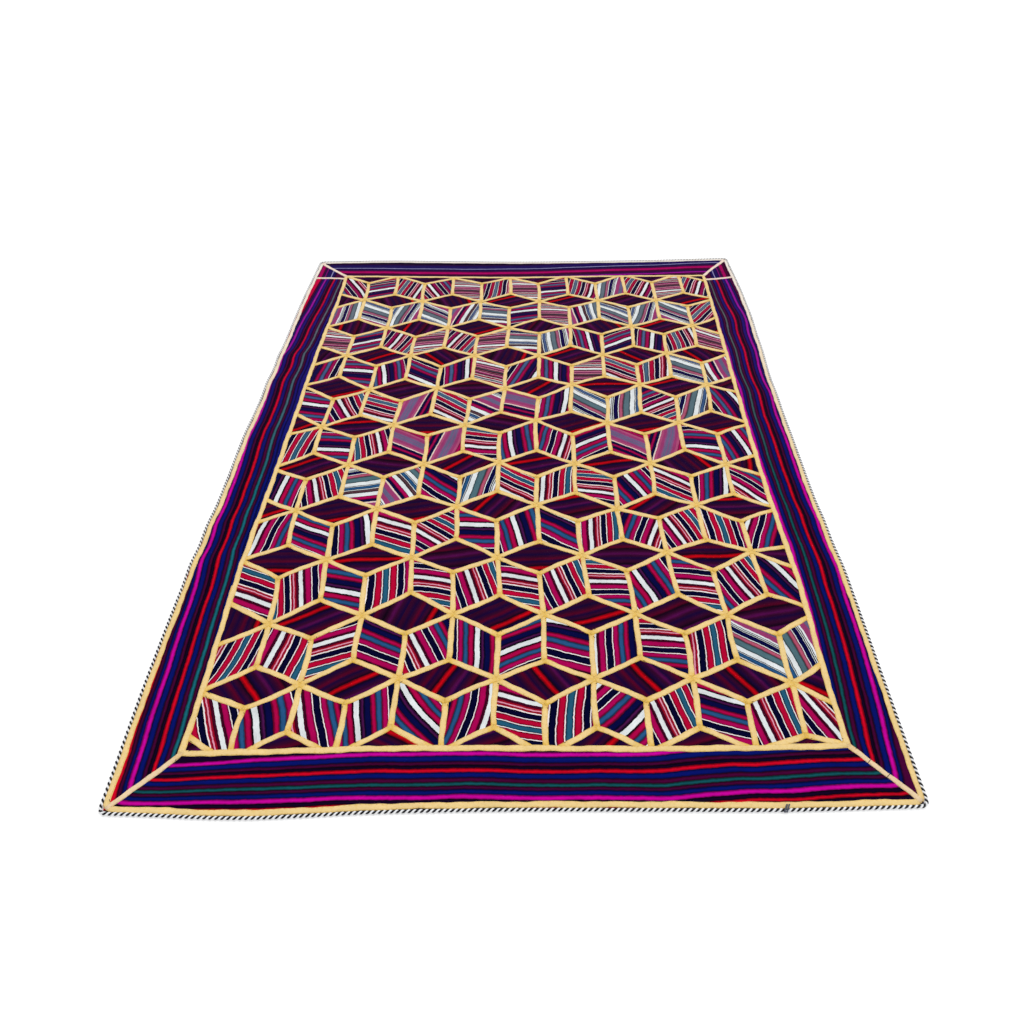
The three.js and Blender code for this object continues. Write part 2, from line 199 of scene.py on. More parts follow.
def crossing(row, column):
    """Where six seams meet, in mm."""
    sewn = BLOCK_ROWS[row]
    x = FIRST_COLUMN_X + (column + (row % 2) / 2) * COLUMN_PITCH + sewn["shift"]
    return np.array([x, FIRST_ROW_Y - row * ROW_PITCH + rise_of(sewn["crossings"], column)])


def diamond_tip(row, column, end):
    """The far or near tip of the diamond between two neighbouring crossings, in mm."""
    tips = BLOCK_ROWS[row]["far_tips" if end == FAR else "near_tips"]
    x = (crossing(row, column)[0] + crossing(row, column + 1)[0]) / 2
    y = FIRST_ROW_Y - row * ROW_PITCH + end * DIAMOND_HALF_HEIGHT
    return np.array([x, y + rise_of(tips, column + row % 2)])


def upright_seam(band, place):
    """The far and near ends of the seam on the left of a patch, in mm."""
    column = (place - band % 2) // 2
    if (place + band) % 2 == 0:
        return crossing(band, column), diamond_tip(band + 1, column - 1 + band % 2, FAR)
    return diamond_tip(band, column, NEAR), crossing(band + 1, column + band % 2)


CUT_REACH = 60.0
CUT_CLOSENESS = 0.001


def frame_cuts(middle):
    """The four straight cuts that trim a patch at the frame seam: a point and the way out."""
    cuts = []
    for side, inward in INWARD.items():
        axis = runs_along(side)
        at = middle[axis]
        ahead, behind = (side_line(side, "frame", at + reach) for reach in (CUT_REACH, -CUT_REACH))
        way_out = -np.array(inward, dtype=float)
        way_out[axis] = -way_out[1 - axis] * (ahead - behind) / (2 * CUT_REACH)
        cuts.append((side_point(side, "frame", at, 0.0), way_out))
    return cuts


SEAM_HEIGHT = 2.9
SWELL = 0.8
SWELL_REACH = 26.0
PATCH_STEPS = 12
LEAST_PATCH = 60.0


def close_cloth(cloth):
    """Gives a flat, open piece of cloth its back and its cut edges, and points its faces outwards."""
    rim = [edge for edge in cloth.edges if edge.is_boundary]
    for edge in rim:
        edge.smooth = False
    walls = bmesh.ops.extrude_edge_only(cloth, edges=rim)["geom"]
    for vert in walls:
        if isinstance(vert, bmesh.types.BMVert):
            vert.co.z = 0.0
    back_rim = [edge for edge in walls if isinstance(edge, bmesh.types.BMEdge) and edge.is_boundary]
    for edge in back_rim:
        edge.smooth = False
    bmesh.ops.edgeloop_fill(cloth, edges=back_rim)
    bmesh.ops.recalc_face_normals(cloth, faces=cloth.faces[:])


# The rug doesn't lie quite flat: its sides rise in low, soft ridges that die away towards the field.
# Each has its distance along the rug, its height at the edge and its half-width, in mm.
SIDE_RIDGES = {
    "left": [(-516, 6.5, 48), (-372, 6.5, 58), (30, 4.5, 95), (325, 6.5, 62), (488, 6.0, 45)],
    "right": [(-560, 3.5, 60), (-370, 5.0, 55), (220, 4.5, 65), (480, 4.0, 80), (720, 4.0, 70)],
}
RIDGE_REACH = 330.0


def crest_at(side, y):
    """How high a side's ridges stand at the rug's edge, in mm."""
    return sum(height * math.exp(-((y - at) / wide) ** 2) for at, height, wide in SIDE_RIDGES[side])


def ease(share):
    """A share held between 0 and 1 that sets off and comes to rest softly."""
    share = min(max(share, 0.0), 1.0)
    return share * share * (3 - 2 * share)


def lift_of(x, y):
    """How far the ridges lift a spot of the rug, all in metres."""
    lift = 0.0
    for side in SIDE_RIDGES:
        inset = abs(side_line(side, "edge", y / MM) - x / MM)
        if inset < RIDGE_REACH:
            lift += crest_at(side, y / MM) * ease(1 - inset / RIDGE_REACH)
    return lift * MM


def make_piece(name, cloth, material):
    """Turns a finished bmesh in mm into a smooth piece with its material, its top on the ridges."""
    bmesh.ops.scale(cloth, vec=(MM, MM, MM), verts=cloth.verts[:])
    mesh = bpy.data.meshes.new(name)
    for face in cloth.faces:
        face.smooth = True
    for vert in cloth.verts:
        if vert.co.z > 0:
            vert.co.z += lift_of(vert.co.x, vert.co.y)
    cloth.to_mesh(mesh)
    cloth.free()
    mesh.materials.append(material)
    piece = bpy.data.objects.new(name, mesh)
    scene.collection.objects.link(piece)
    return piece


def settle(piece, slot, *nodes):
    """Every piece of the rug lies still in the one body, and stands for the nodes it covers."""
    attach(piece, "root")
    if nodes:
        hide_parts(*nodes)


def cut_patch(corners):
    """A flat grid between four corners, trimmed at the frame seam and swollen between its seams."""
    far_left, near_left, near_right, far_right = corners
    cloth = bmesh.new()
    shares = np.linspace(0.0, 1.0, PATCH_STEPS + 1)
    grid = []
    for a in shares:
        left = far_left + (near_left - far_left) * a
        right = far_right + (near_right - far_right) * a
        grid.append([cloth.verts.new((*(left + (right - left) * b), 0.0)) for b in shares])
    for i in range(PATCH_STEPS):
        for j in range(PATCH_STEPS):
            cloth.faces.new((grid[i][j], grid[i + 1][j], grid[i + 1][j + 1], grid[i][j + 1]))
    middle = sum(corners) / 4
    for point, way_out in frame_cuts(middle):
        if any((corner - point) @ way_out > 0 for corner in corners):
            bmesh.ops.bisect_plane(
                cloth, geom=cloth.verts[:] + cloth.edges[:] + cloth.faces[:], dist=CUT_CLOSENESS,
                plane_co=(*point, 0.0), plane_no=(*way_out, 0.0), clear_outer=True)
    edges = []
    for k in range(4):
        along = corners[(k + 1) % 4] - corners[k]
        inward = np.array([-along[1], along[0]]) / np.hypot(*along)
        edges.append((corners[k], inward))
    for vert in cloth.verts:
        spot = np.array(vert.co[:2])
        swell = 1.0
        for corner, inward in edges:
            swell *= ease((spot - corner) @ inward / SWELL_REACH)
        vert.co.z = SEAM_HEIGHT + SWELL * swell
    return cloth


BAND_LENGTH = 6000.0
STRETCH_REACH = 60.0
MOST_BOW = 2.0
MOST_SWERVE = 1.6
MOST_SPREAD = 0.04


def lay_stripes(cloth, middle, lean, start, draws, bow=0.0, stretch=1.0):
    """Maps a patch to its place on the striped band: across the stripes and along them, in metres.
    Away from the middle the stripes bow, swerve and spread, as the cloth was pulled in sewing."""
    turn = math.radians(lean)
    along = np.array([math.sin(turn), math.cos(turn)])
    across = np.array([math.cos(turn), -math.sin(turn)])
    run = draws.uniform(0, BAND_LENGTH)
    bow += draws.uniform(-MOST_BOW, MOST_BOW)
    swerve = draws.uniform(-MOST_SWERVE, MOST_SWERVE)
    spread = draws.uniform(-MOST_SPREAD, MOST_SPREAD)
    layer = cloth.loops.layers.uv.new("UVMap")
    for face in cloth.faces:
        for loop in face.loops:
            spot = np.array(loop.vert.co[:2]) - middle
            length = spot @ along
            pull = length / STRETCH_REACH
            sideways = (spot @ across) * (1 + spread * pull) + pull * pull * (bow + swerve * pull)
            loop[layer].uv = ((start + sideways / stretch) * MM, (run + length) * MM)


def flat_area(cloth):
    """The area of the upper side of a cloth that is still flat and open, in square mm."""
    return sum(face.calc_area() for face in cloth.faces)


def dye(red, green, blue):
    """A yarn colour as the photo shows it, 0 to 255, made linear for the shader."""
    def linear(level):
        share = level / 255
        return share / 12.92 if share <= 0.04045 else ((share + 0.055) / 1.055) ** 2.4
    return (linear(red), linear(green), linear(blue))


def add_node(tree, kind, *inputs, **settings):
    """A node with its settings, whose inputs are given in order as values or as sockets to link."""
    made = tree.nodes.new(kind)
    for key, value in settings.items():
        setattr(made, key, value)
    for socket, value in zip(made.inputs, inputs):
        if isinstance(value, bpy.types.NodeSocket):
            tree.links.new(value, socket)
        elif value is not None:
            socket.default_value = value
    return made


def work_out(tree, operation, *values):
    """One sum on values or sockets."""
    return add_node(tree, "ShaderNodeMath", *values, operation=operation).outputs[0]


def new_group(name, kind, inputs, outputs):
    """A node group with named sockets: the group, what it is given and what it results in."""
    group = bpy.data.node_groups.new(name, kind)
    for in_out, sockets in (("INPUT", inputs), ("OUTPUT", outputs)):
        for socket, holds in sockets.items():
            group.interface.new_socket(socket, in_out=in_out, socket_type="NodeSocket" + holds)
    return group, group.nodes.new("NodeGroupInput").outputs, group.nodes.new("NodeGroupOutput").inputs


def make_weave_group():
    """Flat weave: rounded threads side by side that pass over and under, with uneven dye and painted shade
    where the threads dip.
    """
    group, given, result = new_group(
        "flat_weave", "ShaderNodeTree",
        {"Dye": "Color", "Across": "Float", "Along": "Float", "Thread": "Float", "Pick": "Float",
         "Unevenness": "Float"},
        {"Colour": "Color", "Height": "Float"})
    threads = work_out(group, "DIVIDE", given["Across"], given["Thread"])
    picks = work_out(group, "DIVIDE", given["Along"], given["Pick"])
    wave = work_out(group, "SINE", work_out(group, "MULTIPLY", threads, math.pi))
    roundness = work_out(group, "ABSOLUTE", wave)
    stagger = work_out(group, "MULTIPLY_ADD", work_out(group, "FLOOR", threads), 0.5, picks)
    over = work_out(group, "SINE", work_out(group, "MULTIPLY", stagger, math.tau))
    height = work_out(group, "MULTIPLY", roundness, work_out(group, "MULTIPLY_ADD", over, 0.2, 0.8))
    long_picks = work_out(group, "MULTIPLY", picks, 0.12)
    streak_at = add_node(group, "ShaderNodeCombineXYZ", threads, long_picks).outputs[0]
    streak = add_node(group, "ShaderNodeTexNoise", streak_at, None, 0.8, 2.0).outputs["Fac"]
    blotch_at = add_node(group, "ShaderNodeCombineXYZ", given["Across"], given["Along"]).outputs[0]
    blotch = add_node(group, "ShaderNodeTexNoise", blotch_at, None, 18.0, 3.0).outputs["Fac"]
    tone = work_out(group, "ADD", work_out(group, "ADD", streak, blotch), -1.0)
    tone = work_out(group, "MULTIPLY_ADD", tone, given["Unevenness"], 1.0)
    # Painted shade: the colour darkens where the threads dip, between their crowns.
    tone = work_out(group, "MULTIPLY", tone, work_out(group, "MULTIPLY_ADD", height, 0.22, 0.86))
    coloured = add_node(group, "ShaderNodeVectorMath", given["Dye"], operation="SCALE")
    group.links.new(tone, coloured.inputs["Scale"])
    group.links.new(coloured.outputs[0], result["Colour"])
    group.links.new(height, result["Height"])
    return group


flat_weave = make_weave_group()


def make_glare_group():
    """Painted far glare: the near colour turns into the far one between two distances along the rug."""
    group, given, result = new_group(
        "painted_far_glare", "ShaderNodeTree",
        {"Near": "Color", "Far": "Color", "Begins": "Float", "Ends": "Float"}, {"Colour": "Color"})
    spot = group.nodes.new("ShaderNodeTexCoord").outputs["Object"]
    away = add_node(group, "ShaderNodeSeparateXYZ", spot).outputs[1]
    share = add_node(group, "ShaderNodeMapRange", away, given["Begins"], given["Ends"], 0.0, 1.0).outputs[0]
    mix = add_node(group, "ShaderNodeMix", data_type="RGBA")
    for socket, value in zip((mix.inputs[0], *mix.inputs[6:8]), (share, given["Near"], given["Far"])):
        group.links.new(value, socket)
    group.links.new(mix.outputs[2], result["Colour"])
    return group


painted_far_glare = make_glare_group()


def paint_far_glare(tree, near, far, begins, ends):
    """A colour paled by painted glare towards the far end of the rug, from one Y to another in metres."""
    return add_node(tree, "ShaderNodeGroup", near, far, begins, ends, node_tree=painted_far_glare).outputs[0]


def new_cloth_material(name, roughness, sheen):
    """An empty cloth finish: its node tree, its shader and where the piece's own map is read."""
    material, tree, shader = new_material(name, {
        "Roughness": roughness, "Specular IOR Level": 0.04, "Sheen Weight": sheen, "Sheen Roughness": 0.5})
    spot = add_node(tree, "ShaderNodeUVMap", uv_map="UVMap").outputs[0]
    across, along, _ = add_node(tree, "ShaderNodeSeparateXYZ", spot).outputs
    return material, tree, shader, spot, across, along


WEAVE_STRENGTH = 0.7


def add_relief(tree, shader, height, strength, distance):
    """Lets a height stand out from the surface, by so much in metres."""
    bump = add_node(tree, "ShaderNodeBump")
    bump.inputs["Strength"].default_value = strength
    bump.inputs["Distance"].default_value = distance
    tree.links.new(height, bump.inputs["Height"])
    tree.links.new(bump.outputs[0], shader.inputs["Normal"])


def weave_over(tree, shader, colour, across, along, unevenness, thread, pick, relief):
    """Puts the weave on a colour and feeds both to the shader."""
    weave = add_node(tree, "ShaderNodeGroup", colour, across, along, thread, pick, unevenness,
                     node_tree=flat_weave).outputs
    tree.links.new(weave["Colour"], shader.inputs["Base Color"])
    add_relief(tree, shader, weave["Height"], WEAVE_STRENGTH, relief)


def waver(tree, spot, scale, detail):
    """Noise to both sides of nought, so many waves a metre."""
    noise = add_node(tree, "ShaderNodeTexNoise", spot, None, scale, detail).outputs["Fac"]
    return work_out(tree, "ADD", noise, -0.5)


# The wool's thread and pick and how far they stand out, how far its stripes fray, and how far painted
# shade darkens a coloured stripe beside its edge, as on a rounded rib, all in metres but the shade.
# A noise is its waves a metre and its detail.
WOOL_WEAVE = dict(thread=0.0012, pick=0.0034, relief=0.0005)
WOOL_ROUGHNESS = 0.95
SWAY_NOISE = (14.0, 1.0)
FRAY_NOISE = (95.0, 2.0)
FRAY = 0.003
PAINTED_RIB_SHADE_REACH = 0.0046
PAINTED_RIB_SHADE = 0.24
PALE_YARNS = ("white", "line", "pink", "cream", "steel", "heather", "mauve", "dove", "smoke")


def chart_stripes(tree, share, stripes, yarns, soft):
    """The weaver's chart over one repeat as a colour ramp, with no alpha where a stripe gets no painted shade
    at its edges.
    """
    chart = add_node(tree, "ShaderNodeValToRGB", share)
    ramp = chart.color_ramp
    ramp.interpolation = "LINEAR" if soft else "CONSTANT"
    repeat = sum(width for _, width in stripes)
    begins = 0.0
    for k, (yarn, width) in enumerate(stripes):
        stop = ramp.elements[0] if k == 0 else ramp.elements.new(begins / repeat)
        stop.position = (begins + (width / 2 if soft else 0.0)) / repeat
        stop.color = (*yarns[yarn], 0.0 if soft or yarn in PALE_YARNS else 1.0)
        if k == 0:
            ramp.elements.remove(ramp.elements[1])
        begins += width
    return chart.outputs


def striped_wool(name, stripes, drift, unevenness=0.5, soft=False, glares_far=False):
    """Wool whose stripes follow a weaver's chart of yarns and widths, their edges a little uneven.
    A coloured stripe has painted shade beside its edges, as on a low rounded rib. Soft stripes run
    together, and in wool with painted far glare the yarns turn to their paler far colours at the far end of
    the rug."""
    material, tree, shader, spot, across, along = new_cloth_material(name, WOOL_ROUGHNESS, 0.0)
    repeat = sum(width for _, width in stripes) * MM
    moved = work_out(tree, "MULTIPLY_ADD", waver(tree, spot, *SWAY_NOISE), drift, across)
    moved = work_out(tree, "MULTIPLY_ADD", waver(tree, spot, *FRAY_NOISE), FRAY, moved)
    share = work_out(tree, "FRACT", work_out(tree, "DIVIDE", moved, repeat))
    place = work_out(tree, "MULTIPLY", share, repeat)
    chart = chart_stripes(tree, share, stripes, YARNS, soft)
    colour = chart["Color"]
    if glares_far:
        far_glare_colour = chart_stripes(tree, share, stripes, {**YARNS, **FAR_GLARE_YARNS}, soft)["Color"]
        colour = paint_far_glare(tree, colour, far_glare_colour, *YARN_GLARE_SPAN)
    to_edge = work_out(tree, "SUBTRACT", repeat, place)
    begins = 0.0
    for _, width in stripes:
        edge = work_out(tree, "ABSOLUTE", work_out(tree, "SUBTRACT", place, begins))
        to_edge = work_out(tree, "MINIMUM", to_edge, edge)
        begins += width * MM
    # Painted shade: the colour darkens towards each coloured stripe's edges, as on a rounded rib.
    painted_rib_shade = add_node(tree, "ShaderNodeMapRange", to_edge, 0.0, PAINTED_RIB_SHADE_REACH, PAINTED_RIB_SHADE - 1.0, 0.0,
                   interpolation_type="SMOOTHSTEP").outputs[0]
    shade = work_out(tree, "MULTIPLY_ADD", painted_rib_shade, chart["Alpha"], 1.0)
    shaded = add_node(tree, "ShaderNodeVectorMath", colour, operation="SCALE")
    tree.links.new(shade, shaded.inputs["Scale"])
    weave_over(tree, shader, shaded.outputs[0], moved, along, unevenness, **WOOL_WEAVE)
    return material


YARNS = {
    "crimson": dye(186, 3, 52),
    "cherry": dye(178, 2, 72),
    "red": dye(198, 8, 50),
    "magenta": dye(174, 2, 84),
    "maroon": dye(86, 4, 46),
    "pink": dye(234, 150, 176),
    "white": dye(228, 233, 235),
    "line": dye(246, 236, 236),
    "teal": dye(34, 90, 120),
    "blue": dye(38, 86, 134),
    "navy": dye(4, 6, 66),
    "ink": dye(2, 2, 44),
    "purple": dye(84, 20, 86),
    "black": dye(14, 2, 24),
    "slate": dye(80, 112, 122),
    "rose": dye(184, 84, 112),
    "heather": dye(172, 76, 118),
    "mauve": dye(154, 58, 110),
    "dove": dye(126, 84, 128),
    "brown": dye(84, 54, 62),
    "cream": dye(228, 208, 198),
    "smoke": dye(102, 96, 130),
}
# What some yarns turn to in painted glare at the far end, and between which distances along the rug, in
# metres.
FAR_GLARE_YARNS = {
    "crimson": dye(164, 8, 56),
    "cherry": dye(154, 6, 78),
    "red": dye(180, 20, 62),
    "magenta": dye(142, 10, 76),
    "line": dye(230, 218, 220),
    "slate": dye(98, 112, 124),
    "rose": dye(164, 90, 120),
    "teal": dye(84, 106, 130),
    "blue": dye(82, 98, 140),
    "navy": dye(22, 10, 72),
    "ink": dye(12, 8, 48),
}
YARN_GLARE_SPAN = (-0.2, 0.7)
BRIGHT_BAND = [
    ("crimson", 14.4), ("line", 2.2), ("teal", 13.6), ("line", 2.2), ("crimson", 14.6), ("line", 2.4),
    ("ink", 13.4), ("line", 2.4), ("red", 6), ("pink", 2.8), ("red", 5.8), ("maroon", 6.3),
    ("white", 10.6), ("maroon", 5.3), ("magenta", 15.2), ("line", 2.4), ("ink", 14.4), ("line", 2.4),
    ("magenta", 13.2), ("blue", 13), ("cherry", 11), ("navy", 15), ("purple", 7), ("black", 4.1),
    ("white", 10.6), ("black", 4.1), ("cherry", 13), ("blue", 12), ("magenta", 12.2), ("line", 2.4),
    ("ink", 12.7), ("line", 2.4),
]
GREY_BAND = [
    ("navy", 12), ("white", 2), ("rose", 12), ("slate", 18), ("white", 12), ("brown", 2), ("white", 2),
    ("blue", 11), ("white", 2), ("brown", 12), ("white", 13), ("magenta", 13), ("navy", 9), ("cream", 5),
    ("mauve", 14), ("smoke", 14), ("mauve", 14), ("white", 5), ("ink", 2.5), ("white", 2), ("ink", 2.5),
    ("white", 2),
]
MAUVE_BAND = [
    ("magenta", 12), ("navy", 9), ("magenta", 10), ("navy", 9), ("cream", 4), ("heather", 8),
    ("mauve", 9), ("dove", 5), ("smoke", 7), ("dove", 4), ("smoke", 5), ("dove", 5), ("mauve", 9),
    ("heather", 8),
]
FADED_BAND = [
    ("white", 10), ("maroon", 4), ("rose", 5), ("pink", 2.4), ("mauve", 6), ("maroon", 3.6),
    ("pink", 2.4), ("rose", 6), ("slate", 4), ("maroon", 4.6), ("rose", 6), ("black", 3),
    ("pink", 2.4), ("mauve", 6), ("maroon", 3.6), ("rose", 5), ("line", 2.4), ("crimson", 8),
    ("line", 3), ("slate", 7), ("line", 3), ("crimson", 9),
]
# Where a patch was cut: capitals run along the bright band, a to l along the grey one, m to p along
# the mauve one and r to y along the faded one, in even steps over one repeat.
CUT_PLACES = {
    "bright": "ABCDEFGHIJKLMNOPQR",
    "grey": "abcdefghijkl",
    "mauve": "mnop",
    "faded": "rstuvwxy",
}
BAND_CHARTS = {"bright": BRIGHT_BAND, "grey": GREY_BAND, "mauve": MAUVE_BAND, "faded": FADED_BAND}
PATCH_DRIFT = 0.006
DARK_UNEVENNESS = 0.7
# The patches carry painted glare: their yarns turn paler towards the far end.
patch_wools = {name: striped_wool(name + "_band_wool", chart, PATCH_DRIFT, glares_far=True)
               for name, chart in BAND_CHARTS.items()}
# The field band by band from the far end, each patch from the left: the place on the band that lies
# in its middle, then how far its stripes lean to the right of upright, in degrees. Some have more:
# the shift from that place and the bow of the stripes, in mm, and the stretch across them, per cent.
PATCH_CHART = [
    "H150/-3 O-108 D15 H-27 t96 B4 u93 M81 D11 a-171 E20 t-98 F18",
    "a2 b-60/5/0/125 b-166/0/0/105 b127/0/0/115 g-164 d99/-5/0/120 M-102/0/0/110 t95 f172 "
    "c-51/1/0/110 b-166 b-51/0/0/120 C35",
    "t99 N71 F-159 t-99 E-155 t-97 d95/0/0/120 c177/-6/0/110 O175 O-122/0/0/115 O-172/0/0/110 "
    "C-8 t122",
    "K-173/0/0/115 N-83/-2/0/128 M170/-2/0/106 L124/-3/0/115 L-2/0/0/110 u114/2 K20/4/0/115 "
    "O-178/-9/0/118 s90/-8 D127/-5/0/110 C6/9/0/115 b-57/5/0/140 i-9",
    "N-78/-2/0/125 F155/0/0/106 D114/-6/0/115 o-166/-9 D129/-3/0/112 h-55/5/0/125 n-67/12/0/120 "
    "L8/4/0/114 c-49/-4/0/130 b7/5/0/118 G-122/-3 c15/0/0/112 L-17/2/0/108",
    "B9/-4/0/113 M94/0/0/120 E-13 o-58/-6 o15/-4 F99/-9/0/118 M174/-2/0/112 I-169/-8 O60/0/0/112 "
    "o-55/-5 o17/-4 M98/1/-5/118 N-15/-8/0/110",
    "O6/-5/0/112 E163/3 e80/-7/0/118 g146 K-48/0/0/113 c-169/-5/0/112 D125/-7 D-177/3/0/107 E99/-3 "
    "N-28/0/0/112 E-53/0/0/108 L8/-3/0/110 I-40/-9",
    "I7/-8 M-65 L-10/-4/0/115 E-67/-4/0/122 E127/-3 M-86/1/3/127 N167/3/0/113 K-54/5/0/127 "
    "E-179 I-160 E158/3 B176/0/0/106 J23/3",
    "E114/2/0/110 F-13/3 M105/6/0/122 B176/-3/0/117 E-80/8/5/110 F161/-2 E-77/2/0/110 F162/-4 G92 "
    "M156/0/0/115 G-82/-4/0/108 G157/-8 M-29/3/0/112",
    "C-168/-8/-3 E-167/3/0/115 E-108/2/0/110 J-66/6/0/110 H-26 O177/-3 N66/7/0/108 "
    "K-72/-6/0/125 J1 H96 C-177/-2/0/108 b125 a168/-5",
    "F-23/-2 M163/3/-4/118 I-18/-4/0/106 M170/-5/-1 M-41/13/-4 I-168/3/-3/104 D-74/1/-3 B-174/0/0/118 "
    "L45/0/4/110 E164/-7 L-70/-7/-4 E170/-5 F154/6",
]


patch_draws = random.Random(41)


def sew_patch(name, corners, wool, start, lean, bow=0.0, stretch=1.0):
    """Cuts a patch with its stripes and sews it in, unless the frame seam leaves next to nothing."""
    cloth = cut_patch(corners)
    area = flat_area(cloth)
    if area < LEAST_PATCH:
        cloth.free()
        return
    close_cloth(cloth)
    lay_stripes(cloth, sum(corners) / 4, lean, start, patch_draws, bow, stretch)
    piece = make_piece(name, cloth, wool)
    settle(piece, "patch_wool", "field_panel")


for band in range(BANDS):
    for place, token in enumerate(PATCH_CHART[band].split()):
        cut = token[0]
        lay = [int(number) for number in token[1:].split("/")]
        lean, shift, bow, stretch = lay + [0, 0, 0, 100][len(lay):]
        wool = next(name for name, letters in CUT_PLACES.items() if cut in letters)
        repeat = sum(width for _, width in BAND_CHARTS[wool])
        start = repeat * (CUT_PLACES[wool].index(cut) + 0.5) / len(CUT_PLACES[wool]) + shift
        far_left, near_left = upright_seam(band, place)
        far_right, near_right = upright_seam(band, place + 1)
        corners = [far_left, near_left, near_right, far_right]
        name = "patch_%02d_%02d" % (band + 1, place + 1)
        sew_patch(name, corners, patch_wools[wool], start, lean, bow, stretch / 100)


# The dark diamonds: the tops of the blocks, cut from a plum-black wool with faint navy and violet
# lines and one red stripe. Each is turned its own way and sewn to the striped patches around it.
DARK_YARNS = {
    "plum": dye(50, 3, 40),
    "dusk": dye(22, 2, 52),
    "grape": dye(80, 8, 72),
    "pitch": dye(12, 0, 18),
    "ember": dye(84, 0, 34),
    "scarlet": dye(206, 1, 16),
}
YARNS.update(DARK_YARNS)
DARK_BAND = [
    ("plum", 14), ("dusk", 8), ("plum", 10), ("ember", 6), ("dusk", 10), ("plum", 8), ("pitch", 7),
    ("scarlet", 9), ("pitch", 6), ("dusk", 10), ("plum", 10), ("grape", 5), ("dusk", 9), ("plum", 12),
    ("ember", 7), ("pitch", 6), ("plum", 14), ("grape", 4), ("plum", 10), ("dusk", 8), ("plum", 16),
    ("pitch", 6), ("grape", 5), ("plum", 14), ("dusk", 10), ("ember", 6), ("plum", 15), ("pitch", 8),
    ("plum", 12), ("grape", 4), ("plum", 14), ("dusk", 9),
]
RED_STRIPE = 7
PLAIN_STRETCH = 18
red_at = sum(width for _, width in DARK_BAND[:RED_STRIPE]) + DARK_BAND[RED_STRIPE][1] / 2
plain_at = sum(width for _, width in DARK_BAND[:PLAIN_STRETCH])
DIAMONDS_IN_ROW = 7
# The diamonds row by row from the far end, each from the left: how far its stripes lean to the right
# of upright, in degrees, and how far across them the red one lies from the middle, in mm.
DIAMOND_CHART = [
    [(60, None), (70, None), (60, None), (60, -20), (75, None), (60, None), (70, None)],
    [(15, None), (-20, 70), (-20, 66), (66, -28), (66, -22), (60, None), (65, 22)],
    [(3, -58), (20, -38), (65, 36), (25, None), (-30, 62), (62, -30), (60, 20)],
    [(20, None), (62, 10), (-40, -30), (15, 60), (62, -32), (-50, -18), (-35, -26)],
    [(68, 46), (70, None), (88, None), (47, 4), (90, -10), (70, -30), (60, None)],
    [(63, 37), (85, -20), (90, 38), (105, None), (68, 46), (78, 38), (75, 40)],
    [(60, -25), (100, None), (50, -10), (75, -17), (79, -9), (-33, 44), (5, -42)],
    [(62, 32), (78, 40), (80, 44), (35, -37), (76, -42), (50, -38), (88, -34)],
    [(90, 36), (90, 2), (82, None), (88, 40), (90, None), (90, 11), (90, None)],
    [(3, 86), (61, -24), (20, 58), (62, 33), (74, 20), (65, None), (80, None)],
    [(-40, 0), (60, 10), (30, -6), (-36, 0), (-37, 6), (-35, 0), (-56, -47)],
    [(60, None), (75, None), (-62, 50), (70, None), (45, 3), (75, None), (60, 10)],
]
dark_wool = striped_wool("dark_band_wool", DARK_BAND, PATCH_DRIFT, DARK_UNEVENNESS, soft=True)
for row, lays in enumerate(DIAMOND_CHART):
    for place, (lean, red_across) in enumerate(lays):
        column = place - row % 2
        corners = [crossing(row, column), diamond_tip(row, column, NEAR),
                   crossing(row, column + 1), diamond_tip(row, column, FAR)]
        start = plain_at if red_across is None else red_at - red_across
        sew_patch("diamond_%02d_%d" % (row, place + 1), corners, dark_wool, start, lean)


# The border: four long bands of striped wool, their stripes running along the rug, mitred at the
# corners. Two short pieces of another band fill the far corners. They are sewn to the field.
BORDER_YARNS = {
    "royal": dye(4, 18, 106),
    "fuchsia": dye(204, 2, 158),
    "flame": dye(216, 2, 38),
    "pine": dye(18, 88, 96),
    "spruce": dye(24, 108, 124),
    "wine": dye(72, 1, 54),
    "soot": dye(18, 1, 36),
    "indigo": dye(30, 12, 84),
    "aubergine": dye(58, 10, 74),
    "steel": dye(142, 138, 190),
    "cerise": dye(170, 1, 94),
    "violet": dye(156, 14, 150),
}
YARNS.update(BORDER_YARNS)
# Painted glare: these border yarns turn paler and greyer towards the far end.
FAR_GLARE_YARNS.update({
    "royal": dye(36, 18, 110),
    "fuchsia": dye(152, 20, 156),
    "flame": dye(200, 2, 64),
    "pine": dye(94, 94, 106),
    "spruce": dye(96, 98, 116),
    "wine": dye(72, 2, 62),
    "soot": dye(40, 4, 40),
})
SIDE_BAND = [
    ("royal", 10.5), ("wine", 8), ("pine", 8.5), ("wine", 10), ("royal", 12.5), ("flame", 9.5),
    ("soot", 7.5), ("wine", 8.5), ("royal", 13.5), ("fuchsia", 11),
]
BRIGHT_END = [("flame", 8), ("soot", 9), ("fuchsia", 11)]
FAR_BAND = [
    ("wine", 16), ("violet", 12), ("aubergine", 12), ("wine", 12), ("cerise", 20), ("aubergine", 12),
    ("indigo", 10.5), ("steel", 5), ("indigo", 27.5), ("aubergine", 8), ("soot", 26),
]
CORNER_BAND = [
    ("wine", 11), ("cerise", 17), ("aubergine", 9), ("violet", 6), ("indigo", 18), ("steel", 4),
    ("indigo", 12), ("wine", 46),
]
BORDER_DRIFT = 0.004
near_wool = striped_wool("near_band_wool", BRIGHT_END + SIDE_BAND + [("soot", 45)], BORDER_DRIFT)
LEFT_BAND = [("spruce", 9.5) if yarn == "pine" else (yarn, width) for yarn, width in SIDE_BAND]
